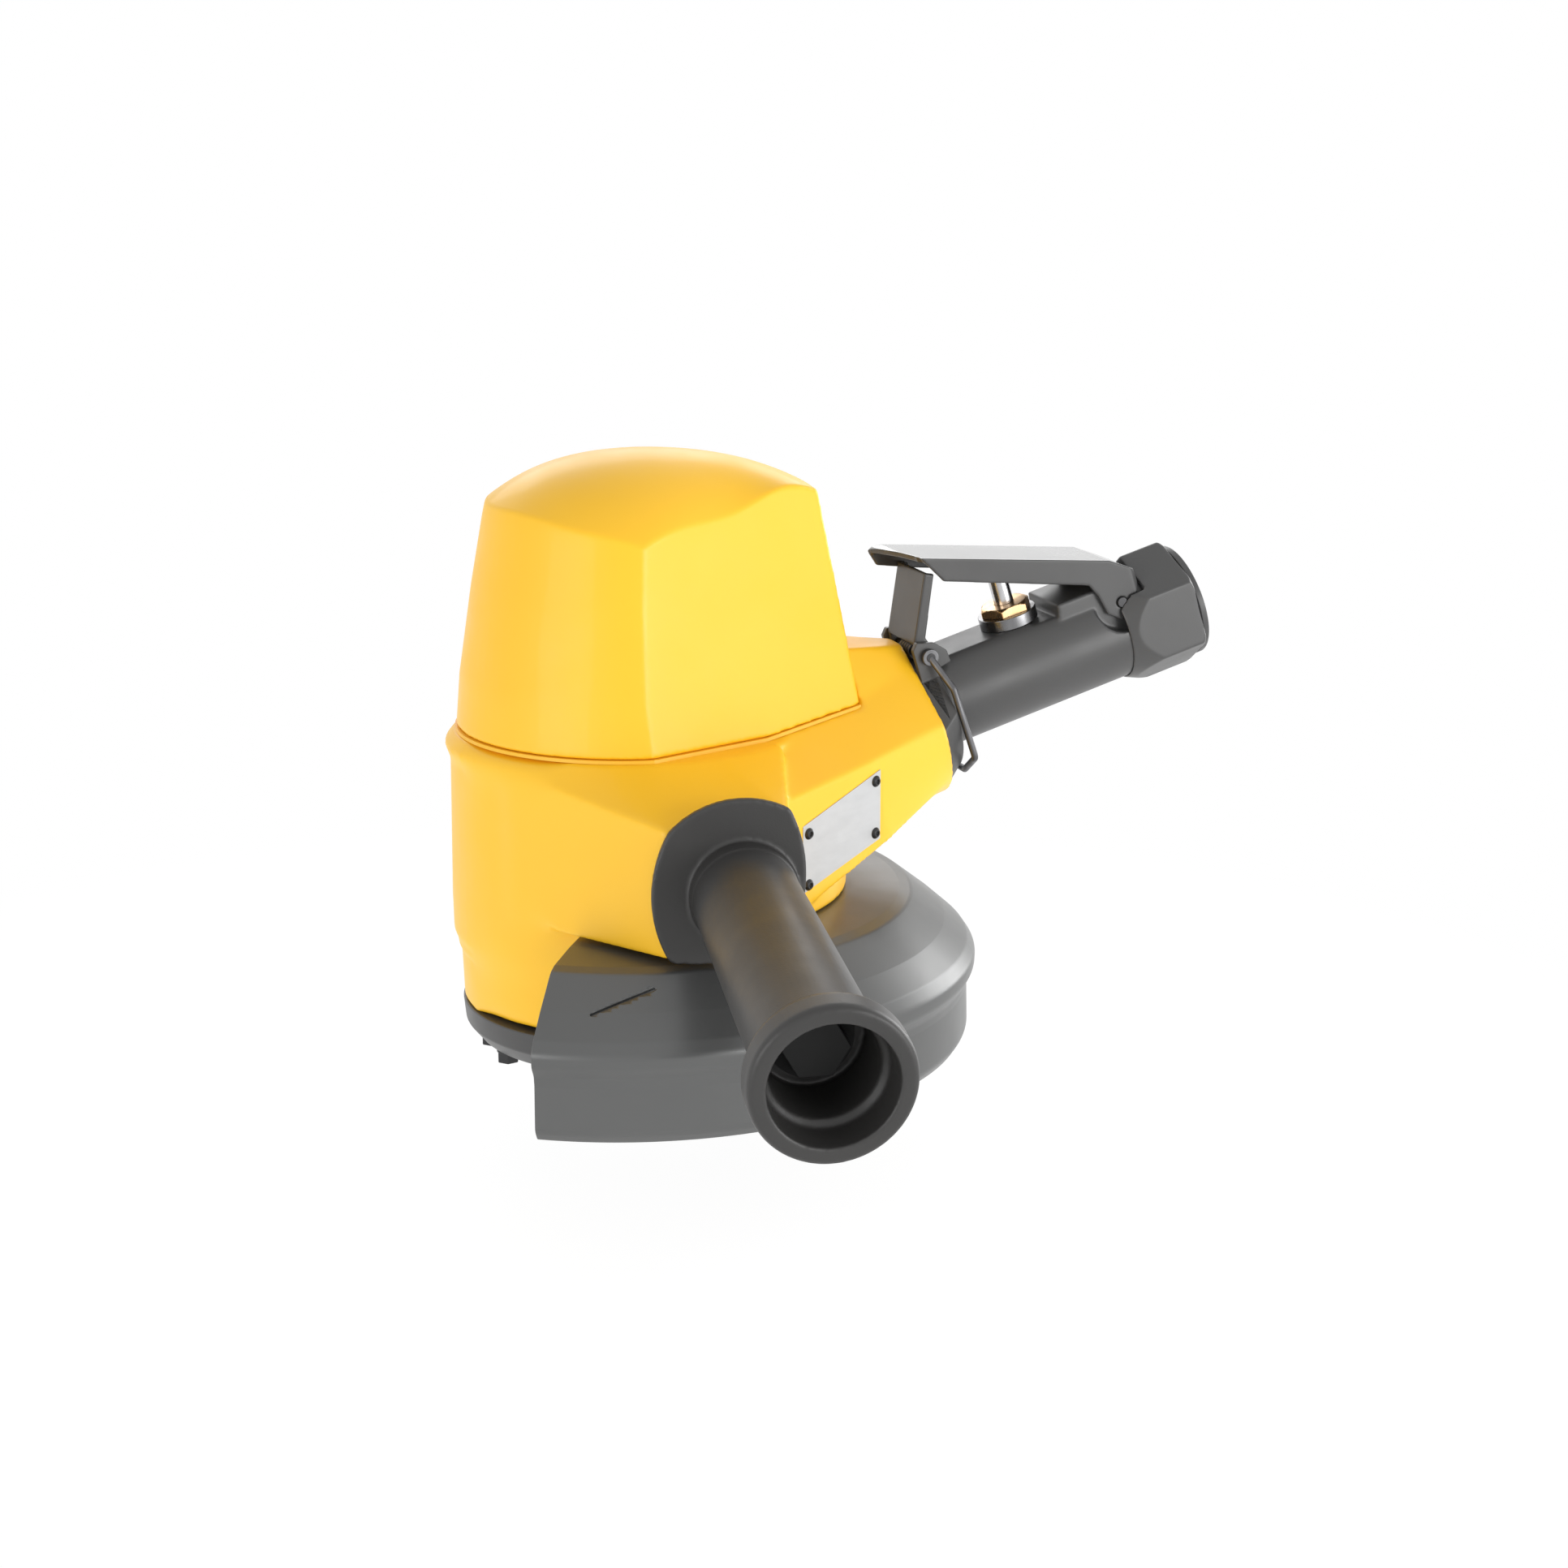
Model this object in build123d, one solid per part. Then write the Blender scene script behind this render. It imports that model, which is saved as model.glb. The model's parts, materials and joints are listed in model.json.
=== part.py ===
from build123d import *
from math import acos, atan2, cos, hypot, pi, radians, sin, sqrt
import os

# Vertical grinder driven by an air turbine. Millimetres.
# The spindle is the Z axis, Z = 0 is the wheel seat, and +X points along the throttle handle.

# Fits
RUN = 0.03
SLIDE = 0.05
GAP = 0.3

# Heights on the spindle axis
RIM_Z = 16.0
COVER_LOW_Z = 16.0
HOUSING_Z = 30.0
SPIGOT_Z = 38.0
CARRIER_Z = 54.0
GEAR_Z = 62.0
WEB_Z = 76.0
WEB_TOP_Z = 92.0
NOZZLE_Z = 113.0
HOUSING_TOP_Z = 133.0
SEAL_T = 1.2
COVER_Z = HOUSING_TOP_Z + SEAL_T

# Spindle and wheel seat
THREAD_R = 7.0
NOSE_LENGTH = 26.0
SEAT_R = 8.5
WHEEL_FLANGE_R = 22.0
WHEEL_FLANGE_T = 9.0
SPINDLE_R = 10.0
SPINDLE_SHOULDER_R = 12.5
BEARING_R = 21.0
BEARING_T = 12.0
LOW_BEARING_Z = 22.0
HIGH_BEARING_Z = 41.0

# Planetary reduction
MODULE = 1.5
SUN_TEETH = 15
PLANET_TEETH = 21
RING_TEETH = SUN_TEETH + 2 * PLANET_TEETH
PLANETS = 3
GEAR_T = 13.0
BACKLASH = 0.12
PLANET_R = MODULE * (SUN_TEETH + PLANET_TEETH) / 2
PIN_R = 4.0
CARRIER_R = 38.0
CARRIER_T = 7.5
GEAR_BORE_R = 50.0

# Rotor
ROTOR_LOW_R = 7.5
ROTOR_LOW_BEARING_R = 17.5
ROTOR_LOW_BEARING_T = 11.0
ROTOR_HIGH_R = 6.0
ROTOR_HIGH_BEARING_R = 14.0
ROTOR_HIGH_BEARING_T = 8.0
ROTOR_HIGH_Z = 121.0
TURBINE_SEAT_R = 7.0
TURBINE_R = 46.5
TURBINE_Z = 95.0
TURBINE_T = 14.0
TURBINE_TIP_GAP = 2.0
CHAMBER_R = TURBINE_R + TURBINE_TIP_GAP
NOZZLE_STEP = 2.0
NOZZLE_R = CHAMBER_R + NOZZLE_STEP
NOZZLE_LIP = 3.5
BLADE_DEPTH = 11.0
NOZZLE_RING_R = TURBINE_R - 3.5
PLENUM_R = NOZZLE_RING_R - 5.0
BLADES = 24
GOVERNOR_Z = 136.0
GOVERNOR_TOP_Z = 160.0
ROTOR_TOP_Z = 158.0

# Lower cover
COVER_LOW_R = 58.5
COVER_MID_R = 63.4
COVER_MID_Z = 22.0
COVER_HIGH_R = 64.2
COVER_BOLT_COUNT = 16
COVER_BOLT_PHASE = 14.0
COVER_BOLT_R = 54.0
M5_R = 2.5
M5_HEAD_R = 4.2
M5_HEAD_T = 5.0

# Housing barrel: radius and height of each crease
BARREL = [
    (63.6, HOUSING_Z),
    (64.3, 50.5),
    (65.4, 51.2),
    (65.6, 54.2),
    (66.9, 57.0),
    (67.1, 70.0),
    (66.4, 122.5),
    (64.6, HOUSING_TOP_Z),
]
# Ridge under the cover, from the arm's far root round the back to the support boss
RIDGE_FROM = 69.5
RIDGE = [
    (60.0, 122.5),
    (66.4, 122.5),
    (68.3, 127.5),
    (68.3, 128.5),
    (64.6, HOUSING_TOP_Z),
    (60.0, HOUSING_TOP_Z),
]
ARM_FLOOR_Z = 71.8
# Shoulders between the barrel and what stands out of it
SHOULDER_IN = 52.0
SHOULDER_STEP = 12.0
COVER_FOOT = (65.2, HOUSING_TOP_Z + 0.3)

# Throttle handle axis: start point and rise
THROTTLE_X = 112.5
THROTTLE_Z = 131.2
THROTTLE_RISE = 17.0
BOSS_R = 31.0
BOSS_DROP = -4.2
# Half outlines of the arm (across, up) at its root, near its middle and at the round boss
ARM_ROOT_S = -85.0
ARM_ROOT = [(32.0, 60.0), (47.0, 28.5), (75.5, 10.0), (69.3, -34.0)]
ARM_MID_S = -38.0
ARM_MID = [(18.2, 41.2), (31.6, 18.9), (52.9, 3.9), (48.3, -28.6)]
ARM_END = [(7.1, 26.0), (13.5, 18.7), (30.8, -1.0), (23.7, -24.1)]

# Support handle: direction in plan, place of the boss
SUPPORT_AZ = -99.0
SUPPORT_D = 101.0
SUPPORT_T = 25.4
SUPPORT_Z = 96.4
HANDLE_AZ = -97.5
SUPPORT_DROP = 6.7
SUPPORT_LENGTH = 147.2
GRIP_ROOT_R = 18.4
GRIP_END_R = 20.3
GRIP_RING_R = 26.3
GRIP_RING_L = 14.0
GRIP_MOUTH_R = 20.3
GRIP_BORE_R = 17.4
GRIP_BORE_L = 12.0
CORE_R = 13.5
CORE_END = SUPPORT_LENGTH - 36.0
BOLT_R = 6.0
FLANGE_T = 3.2
# Flange of the grip (across, height): its corners, and the middle of each bowed side
FLANGE_CORNERS = [(0.0, 72.8), (0.0, 118.5), (41.8, 125.1), (41.8, 79.4)]
FLANGE_SIDES = [(-6.0, 95.0), (22.0, 129.4), (47.2, 102.0), (20.0, 72.4)]
FLANGE_CORNER_R = 4.0
BOSS_FLOOR_Z = 73.2
# Corners of the support boss (across, out) with the height of its top edge there
BOSS_LEFT = (-1.0, SUPPORT_D, 118.5)
BOSS_RIGHT = (42.0, SUPPORT_D, 122.0)
BOSS_BACK = (49.5, 46.0, 132.0)

# Upper cover
COVER_WALL = 4.0
COVER_NOSE = [(64.0, 133.0), (62.3, 153.0), (57.2, 186.0), (52.4, 212.0), (46.0, 240.0)]
COVER_CORNER = (-9.5, -63.3)
COVER_FLANK = 21.0
COVER_LEAN = 7.6
COVER_END_X = 81.5
COVER_END_LEAN = 10.5
COVER_END_GAP = 0.4
COVER_LIP_T = 4.0
# Parting line of the cover, from the nose to the arm (X, height)
PARTING = [
    (-100.0, HOUSING_TOP_Z),
    (38.0, HOUSING_TOP_Z),
    (80.0, HOUSING_TOP_Z + 5.5),
    (160.0, HOUSING_TOP_Z + 16),
]
# Roof sections: place along X, crown height, half width and height at that half width
ROOF = [
    (-66.0, 200.0, 30.0, 190.0),
    (-33.0, 228.0, 42.0, 212.0),
    (-11.0, 233.5, 53.0, 206.5),
    (20.0, 233.5, 40.0, 214.0),
    (52.0, 226.5, 27.0, 222.0),
    (88.0, 206.0, 20.0, 204.0),
]
ROOF_SIDE = 95.0

# Wheel guard section: radius and height of the outside, sheet, wrap
GUARD = [
    (69.2, 71.6),
    (82.0, 71.6),
    (86.0, 71.4),
    (100.0, 70.8),
    (104.5, 69.7),
    (107.0, 67.8),
    (117.0, 60.0),
    (125.5, 52.5),
    (128.6, 48.0),
    (128.4, 43.5),
    (126.0, 39.5),
    (125.5, 36.0),
    (125.9, 19.6),
    (123.5, RIM_Z),
]
GUARD_T = 2.0
GUARD_FROM = -121.6
GUARD_TO = 56.5
GUARD_SCREW_R = 74.0
GUARD_SCREWS = [-76.0, -28.0, 20.0]
GUARD_TURN = 15.0
M6_R = 3.0
M6_HEAD_R = 4.6
# Shallow groove across the guard's slope: radius and turn of its two ends
GUARD_GROOVE = [(117.5, -113.1), (109.4, -102.1)]
GUARD_GROOVE_W = 1.0
GUARD_GROOVE_DEPTH = 0.5
# The support handle's core and bolt stop short of the guard screws
CORE_CLEAR = 5.0
CORE_IN = GUARD_SCREW_R + CORE_CLEAR - SUPPORT_D
BOLT_IN = CORE_IN - 3 * BOLT_R

# Name plate on the arm's flank: a point of its plane, turn in plan
PLATE_POINT = (46.0, -67.0)
PLATE_TURN = 25.8
PLATE = [(-2.5, 81.5), (37.5, 94.5), (37.5, 120.5), (-2.5, 106.5)]
PLATE_SCREWS = [(0.5, 84.5), (35.0, 97.0), (35.0, 116.5), (0.5, 103.5)]
PLATE_T = 1.0
PLATE_SINK = 0.9

# Throttle handle, in its own frame: along the axis, across, up
COLLAR_L = 7.5
COLLAR_R = 29.6
COLLAR_END_R = 26.5
COLLAR_FLAT = 23.8
COLLAR_NOTCH_E = 17.2
TUBE_R = 20.0
TUBE_END = 99.0
SPIGOT_R = 16.0
SPIGOT_L = 18.0
DECK_E = 17.0
AIR_OUT_R = 4.0
AIR_OUT_E = 6.0
AIR_IN_R = 5.0
AIR_IN_E = -8.0
BUSH_START = 84.5
BUSH_CONE = 95.5
BUSH_END = 114.5
BUSH_R = 25.5
BUSH_FLATS = 44.0
INLET_R = 9.5
RING_END = 117.0
RING_R = 22.0
STRAINER_R = 14.0

# Valve
VALVE_S = 46.0
VALVE_BORE_R = 8.0
VALVE_FLOOR = -15.0
WASHER_R = 11.3
WASHER_E = 21.6
NUT_E = 25.2
NUT_FLATS = 17.6
STEM_R = 3.8
STEM_TOP = 42.6
STEM_DOME_R = 5.0
SEAT_LOW = -2.0
SEAT_HIGH = 2.0
SEAT_HOLE_R = 5.0
POPPET_R = 6.6
VALVE_STROKE = 6.8

# Lever
PIN_S = 86.2
PIN_E = 13.3
LEVER_PIN_R = 2.0
LEVER_HALF = 16.5
LEVER_T = 2.0
LUG_HALF = 14.2
LUG_R = 7.5
LEVER_OUTLINE = [
    (4.0, 59.0),
    (6.5, 60.0),
    (10.5, 59.3),
    (15.4, 57.4),
    (85.5, 30.6),
    (94.4, 24.0),
    (95.2, 18.5),
    (91.5, 9.5),
    (84.5, 6.6),
    (79.6, 10.5),
    (77.5, 19.0),
    (75.0, 24.2),
    (20.1, 46.3),
    (5.8, 52.6),
]
LEVER_INSIDE = [
    (-2.0, 57.0),
    (6.2, 57.9),
    (10.0, 57.3),
    (14.7, 55.4),
    (84.8, 28.7),
    (92.6, 22.9),
    (93.2, 19.0),
    (100.0, 19.0),
    (100.0, 0.0),
    (-2.0, 0.0),
]
# Slanted front of the lever in plan (along, across), and of its near flange (along, up)
LEVER_FRONT = [(-10, 17.5), (3.9, 17.5), (6.5, 9), (12.5, -11), (13.4, -17.5), (-10, -17.5)]
LEVER_NEAR = [(-10, 75), (12.3, 60), (13.7, 57.1), (19.5, 46.8), (20, 40), (-10, 40)]
LEVER_CORNER = 3.0
POCKET_R = 11.2

# Safety latch
LATCH_S = 5.6
LATCH_E = 21.4
LATCH_PIN_R = 1.8
LATCH_REACH = 19.6
LATCH_HALF = 13.9
LATCH_T = 1.8
LATCH_EYE_R = 3.8
EAR_IN = 14.2
EAR_OUT = 17.0
EAR = [(0.3, 11), (0.3, 25.5), (2.5, 28), (9.4, 25.6), (13.2, 21.3), (13.6, 16.5), (7.4, 15.5), (7.4, 11)]
LATCH_OUTLINE = [(2.4, 27.0), (13.9, 51.5), (17.4, 49.9), (7.4, 27.6), (9.5, 22.5), (1.9, 20.5)]
LATCH_INSIDE = [(4.0, 26.2), (16.4, 52.6), (24.0, 50.0), (20.0, 10.0), (-6.0, 10.0), (-6.0, 26.2)]
LATCH_COIL_R = 3.2
LATCH_COIL_HALF = 6.0
COIL_WIRE = 0.6

# Wire bail that hangs on the latch pin and passes under the handle (along, across, up)
BAIL_WIRE = 1.3
BAIL_EYE_R = 3.2
BAIL_EYE = (17.2, 19.4)
BAIL = [(LATCH_S, 18.3, LATCH_E), (8.9, 25.4, 8.7), (9.3, 26.9, -19.3), (9.3, 10.6, -28.3)]

THROTTLE = Plane(
    origin=(THROTTLE_X, 0, THROTTLE_Z),
    x_dir=(cos(radians(THROTTLE_RISE)), 0, sin(radians(THROTTLE_RISE))),
    z_dir=(-sin(radians(THROTTLE_RISE)), 0, cos(radians(THROTTLE_RISE))),
)
SUPPORT_DIR = Vector(cos(radians(SUPPORT_AZ)), sin(radians(SUPPORT_AZ)), 0)
SUPPORT_SIDE = Vector(-SUPPORT_DIR.Y, SUPPORT_DIR.X, 0)
SUPPORT = Plane(origin=(0, 0, 0), x_dir=SUPPORT_SIDE, z_dir=SUPPORT_DIR)
HANDLE_DIR = Vector(cos(radians(HANDLE_AZ)), sin(radians(HANDLE_AZ)), 0)
HANDLE = Plane(
    origin=SUPPORT.from_local_coords((SUPPORT_T, SUPPORT_Z, SUPPORT_D)),
    x_dir=(-HANDLE_DIR.Y, HANDLE_DIR.X, 0),
    z_dir=HANDLE_DIR * cos(radians(SUPPORT_DROP)) - Vector(0, 0, sin(radians(SUPPORT_DROP))),
)
PLATE_PLANE = Plane(
    origin=(PLATE_POINT[0], PLATE_POINT[1], 0),
    x_dir=(cos(radians(PLATE_TURN)), sin(radians(PLATE_TURN)), 0),
    z_dir=(sin(radians(PLATE_TURN)), -cos(radians(PLATE_TURN)), 0),
)


def turned(points, angle=360):
    """Solid of revolution about Z; points are (radius, height)."""
    face = make_face(Plane.XZ * Polyline(*points, close=True))
    return revolve(face, Axis.Z, angle)


def tube(outer, inner, low, high):
    return Pos(0, 0, low) * (
        extrude(Circle(outer), high - low) - extrude(Circle(inner), high - low)
    )


def rod(radius, low, high):
    return Pos(0, 0, low) * extrude(Circle(radius), high - low)


def prism(points, half):
    """Outline in (along, up), both ways from the middle plane by half."""
    face = make_face(Plane.XZ * Polyline(*[(a, b) for a, b in points], close=True))
    return extrude(face, half, both=True)


def cross_rod(s, e, radius, low, high):
    """Rod along Y at (s, e) from low to high."""
    return Pos(s, low, e) * Rot(-90, 0, 0) * extrude(Circle(radius), high - low)


def axis_rod(e, radius, low, high):
    """Rod along X at height e."""
    return Pos(low, 0, e) * Rot(0, 90, 0) * extrude(Circle(radius), high - low)


def on_throttle(part):
    return THROTTLE.location * part


def on_handle(part):
    return HANDLE.location * part


def round_copies(part, count, phase=0.0):
    return [Rot(0, 0, phase + 360 * i / count) * part for i in range(count)]


def one(shapes):
    """Join a list of shapes into one."""
    joined = shapes[0]
    for shape in shapes[1:]:
        joined = joined + shape
    return joined


def side(point, normal, size=400.0):
    """Block that fills the half of space behind the plane."""
    return Plane(origin=point, z_dir=normal).location * Pos(0, 0, -size / 2) * Box(size, size, size)


def involute_angle(base, radius):
    """Polar angle of an involute where it reaches the radius."""
    roll = sqrt(max((radius / base) ** 2 - 1, 0))
    return roll - acos(min(base / radius, 1))


def gear_points(teeth, low, high, thin, steps=3):
    """Closed outline of a gear between two radii, first tooth on +X."""
    pitch = MODULE * teeth / 2
    base = pitch * cos(radians(20))
    half = pi / (2 * teeth) - thin / pitch + involute_angle(base, pitch)
    flank = []
    for i in range(steps + 1):
        radius = max(low, base) + (high - max(low, base)) * i / steps
        flank.append((radius, half - involute_angle(base, radius)))
    if low < base:
        flank.insert(0, (low, flank[0][1]))
    points = []
    for tooth in range(teeth):
        middle = 2 * pi * tooth / teeth
        for radius, angle in flank:
            points.append((radius * cos(middle - angle), radius * sin(middle - angle)))
        for radius, angle in reversed(flank):
            points.append((radius * cos(middle + angle), radius * sin(middle + angle)))
    return points


def gear_face(teeth, low, high, thin):
    return make_face(Polyline(*gear_points(teeth, low, high, thin), close=True))


# Spindle and its reduction


def spindle():
    shaft = turned(
        [
            (0, -NOSE_LENGTH),
            (THREAD_R - 1.2, -NOSE_LENGTH),
            (THREAD_R, -NOSE_LENGTH + 1.2),
            (THREAD_R, 0),
            (SEAT_R, 0),
            (SEAT_R, WHEEL_FLANGE_T),
            (SPINDLE_R - RUN, WHEEL_FLANGE_T),
            (SPINDLE_R - RUN, LOW_BEARING_Z + BEARING_T + GAP),
            (SPINDLE_SHOULDER_R, LOW_BEARING_Z + BEARING_T + GAP),
            (SPINDLE_SHOULDER_R, HIGH_BEARING_Z - GAP),
            (SPINDLE_R - RUN, HIGH_BEARING_Z - GAP),
            (SPINDLE_R - RUN, CARRIER_Z),
            (CARRIER_R, CARRIER_Z),
            (CARRIER_R, CARRIER_Z + CARRIER_T),
            (0, CARRIER_Z + CARRIER_T),
        ]
    )
    hole = Pos(PLANET_R, 0, 0) * rod(PIN_R, CARRIER_Z + 1.5, CARRIER_Z + CARRIER_T)
    for cut in round_copies(hole, PLANETS):
        shaft = shaft - cut
    return shaft


def planet_pins():
    pin = Pos(PLANET_R, 0, 0) * (
        rod(PIN_R, CARRIER_Z + 1.5, CARRIER_Z + CARRIER_T)
        + rod(PIN_R - RUN, CARRIER_Z + CARRIER_T, GEAR_Z + GEAR_T)
    )
    return round_copies(pin, PLANETS)


def wheel_flange():
    return turned(
        [
            (SEAT_R, 0),
            (WHEEL_FLANGE_R, 0),
            (WHEEL_FLANGE_R, WHEEL_FLANGE_T - 3),
            (WHEEL_FLANGE_R - 3, WHEEL_FLANGE_T),
            (SEAT_R, WHEEL_FLANGE_T),
        ]
    )


def bearing(inner, outer, low, thick):
    """Shielded bearing: two grooves show where the rings end."""
    third = (outer - inner) / 3
    return turned(
        [
            (inner, low),
            (inner + third, low),
            (inner + third, low + 0.6),
            (outer - third, low + 0.6),
            (outer - third, low),
            (outer, low),
            (outer, low + thick),
            (outer - third, low + thick),
            (outer - third, low + thick - 0.6),
            (inner + third, low + thick - 0.6),
            (inner + third, low + thick),
            (inner, low + thick),
        ]
    )


def planet_gear(index):
    pitch = MODULE * PLANET_TEETH / 2
    face = gear_face(PLANET_TEETH, pitch - 1.25 * MODULE, pitch + 0.95 * MODULE, BACKLASH)
    gear = extrude(face, GEAR_T - 2 * GAP) - extrude(Circle(PIN_R), GEAR_T)
    return Rot(0, 0, 360 * index / PLANETS) * Pos(PLANET_R, 0, GEAR_Z + GAP) * gear


def ring_gear():
    pitch = MODULE * RING_TEETH / 2
    inner = gear_face(RING_TEETH, pitch - 0.95 * MODULE, pitch + 1.25 * MODULE, -BACKLASH)
    face = Circle(GEAR_BORE_R) - inner
    return Pos(0, 0, GEAR_Z) * extrude(face, WEB_Z - GEAR_Z)


def rotor_shaft():
    pitch = MODULE * SUN_TEETH / 2
    sun = gear_face(SUN_TEETH, pitch - 1.25 * MODULE, pitch + 0.95 * MODULE, BACKLASH)
    low_end = WEB_Z + 4 + ROTOR_LOW_BEARING_T
    shaft = turned(
        [
            (0, GEAR_Z + GEAR_T - GAP),
            (9.0, GEAR_Z + GEAR_T - GAP),
            (9.0, WEB_Z + 4 - GAP),
            (ROTOR_LOW_R - RUN, WEB_Z + 4 - GAP),
            (ROTOR_LOW_R - RUN, low_end + GAP),
            (TURBINE_SEAT_R, low_end + GAP),
            (TURBINE_SEAT_R, TURBINE_Z + TURBINE_T),
            (ROTOR_HIGH_R - RUN, TURBINE_Z + TURBINE_T),
            (ROTOR_HIGH_R - RUN, ROTOR_TOP_Z - 1),
            (ROTOR_HIGH_R - RUN - 1, ROTOR_TOP_Z),
            (0, ROTOR_TOP_Z),
        ]
    )
    return shaft + Pos(0, 0, GEAR_Z + GAP) * extrude(sun, GEAR_T - 2 * GAP)


def turbine_wheel():
    rim = TURBINE_R - BLADE_DEPTH
    wheel = turned(
        [
            (TURBINE_SEAT_R, TURBINE_Z - 2),
            (16, TURBINE_Z - 2),
            (16, TURBINE_Z + 3),
            (rim - 4, TURBINE_Z + 3),
            (rim - 4, TURBINE_Z),
            (TURBINE_R, TURBINE_Z),
            (TURBINE_R, TURBINE_Z + TURBINE_T),
            (rim - 4, TURBINE_Z + TURBINE_T),
            (rim - 4, TURBINE_Z + TURBINE_T - 3),
            (16, TURBINE_Z + TURBINE_T - 3),
            (16, TURBINE_Z + TURBINE_T),
            (TURBINE_SEAT_R, TURBINE_Z + TURBINE_T),
        ]
    )
    slot = Pos(rim + 10, 0, TURBINE_Z + TURBINE_T / 2) * Rot(30, 0, 0) * Box(20, 7, 30)
    for cut in round_copies(slot, BLADES):
        wheel = wheel - cut
    return wheel


def nozzle_plate():
    low_bore = ROTOR_HIGH_R + 2
    plate = turned(
        [
            (low_bore, NOZZLE_Z + 4),
            (24, NOZZLE_Z + 4),
            (30, NOZZLE_Z),
            (NOZZLE_R, NOZZLE_Z),
            (NOZZLE_R, NOZZLE_Z + 4),
            (PLENUM_R, NOZZLE_Z + 4),
            (PLENUM_R, HOUSING_TOP_Z - 6),
            (NOZZLE_R, HOUSING_TOP_Z - 6),
            (NOZZLE_R, HOUSING_TOP_Z),
            (22, HOUSING_TOP_Z),
            (22, ROTOR_HIGH_Z + ROTOR_HIGH_BEARING_T),
            (ROTOR_HIGH_BEARING_R, ROTOR_HIGH_Z + ROTOR_HIGH_BEARING_T),
            (ROTOR_HIGH_BEARING_R, ROTOR_HIGH_Z),
            (low_bore, ROTOR_HIGH_Z),
        ]
    )
    nozzle = Pos(NOZZLE_RING_R, 0, NOZZLE_Z + 2) * Rot(-40, 0, 0) * Pos(0, 0, -8) * extrude(Circle(2.6), 16)
    for cut in round_copies(nozzle & rod(NOZZLE_R, NOZZLE_Z - 1, NOZZLE_Z + 5), 8):
        plate = plate - cut
    return plate


def governor():
    hub = tube(9.0, ROTOR_HIGH_R - RUN, GOVERNOR_Z, GOVERNOR_TOP_Z - 4)
    low_disc = tube(16.0, ROTOR_HIGH_R - RUN, GOVERNOR_Z, GOVERNOR_Z + 4)
    cap = rod(16.0, GOVERNOR_TOP_Z - 4, GOVERNOR_TOP_Z) - rod(
        ROTOR_HIGH_R - RUN, GOVERNOR_TOP_Z - 5, ROTOR_TOP_Z
    )
    weight = Pos(11.5, 0, (GOVERNOR_Z + GOVERNOR_TOP_Z) / 2) * Box(7, 9, GOVERNOR_TOP_Z - GOVERNOR_Z - 6)
    body = hub + low_disc + cap
    for piece in round_copies(weight, 2):
        body = body + (piece - rod(ROTOR_HIGH_R + 1, GOVERNOR_Z, GOVERNOR_TOP_Z))
    return body


def bearing_plate():
    return turned(
        [
            (SPINDLE_SHOULDER_R + 3, SPIGOT_Z),
            (GEAR_BORE_R, SPIGOT_Z),
            (GEAR_BORE_R, GEAR_Z),
            (GEAR_BORE_R - 6, GEAR_Z),
            (GEAR_BORE_R - 6, CARRIER_Z - 1),
            (BEARING_R, CARRIER_Z - 1),
            (BEARING_R, HIGH_BEARING_Z),
            (SPINDLE_SHOULDER_R + 3, HIGH_BEARING_Z),
        ]
    )


def lower_cover():
    body = turned(
        [
            (SPINDLE_R + 6, COVER_LOW_Z),
            (COVER_LOW_R, COVER_LOW_Z),
            (COVER_MID_R, COVER_MID_Z),
            (COVER_HIGH_R, HOUSING_Z),
            (GEAR_BORE_R, HOUSING_Z),
            (GEAR_BORE_R, SPIGOT_Z),
            (GEAR_BORE_R - 8, SPIGOT_Z),
            (BEARING_R + 4, LOW_BEARING_Z + BEARING_T),
            (BEARING_R, LOW_BEARING_Z + BEARING_T),
            (BEARING_R, LOW_BEARING_Z),
            (SPINDLE_R + 6, LOW_BEARING_Z),
        ]
    )
    hole = Pos(COVER_BOLT_R, 0, 0) * rod(M5_R, COVER_LOW_Z - 1, HOUSING_Z + 1)
    for cut in round_copies(hole, COVER_BOLT_COUNT, COVER_BOLT_PHASE):
        body = body - cut
    return body


def cover_bolts():
    head = Pos(0, 0, COVER_LOW_Z - M5_HEAD_T) * extrude(RegularPolygon(M5_HEAD_R, 6), M5_HEAD_T)
    bolt = Pos(COVER_BOLT_R, 0, 0) * (head + rod(M5_R, COVER_LOW_Z, HOUSING_Z + 14))
    return round_copies(bolt, COVER_BOLT_COUNT, COVER_BOLT_PHASE)


def spindle_seal():
    low = COVER_LOW_Z + 0.5
    lip = SPINDLE_R - RUN + 0.05
    return turned(
        [
            (lip + 1.5, low),
            (SPINDLE_R + 6, low),
            (SPINDLE_R + 6, LOW_BEARING_Z - 0.5),
            (lip + 2.5, LOW_BEARING_Z - 0.5),
            (lip, low + 2.6),
            (lip, low + 1.8),
        ]
    )


# Housing, covers


def arm_plane(s):
    return Plane(origin=THROTTLE.from_local_coords((s, 0, 0)), x_dir=(0, 1, 0), z_dir=THROTTLE.x_dir)


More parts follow.
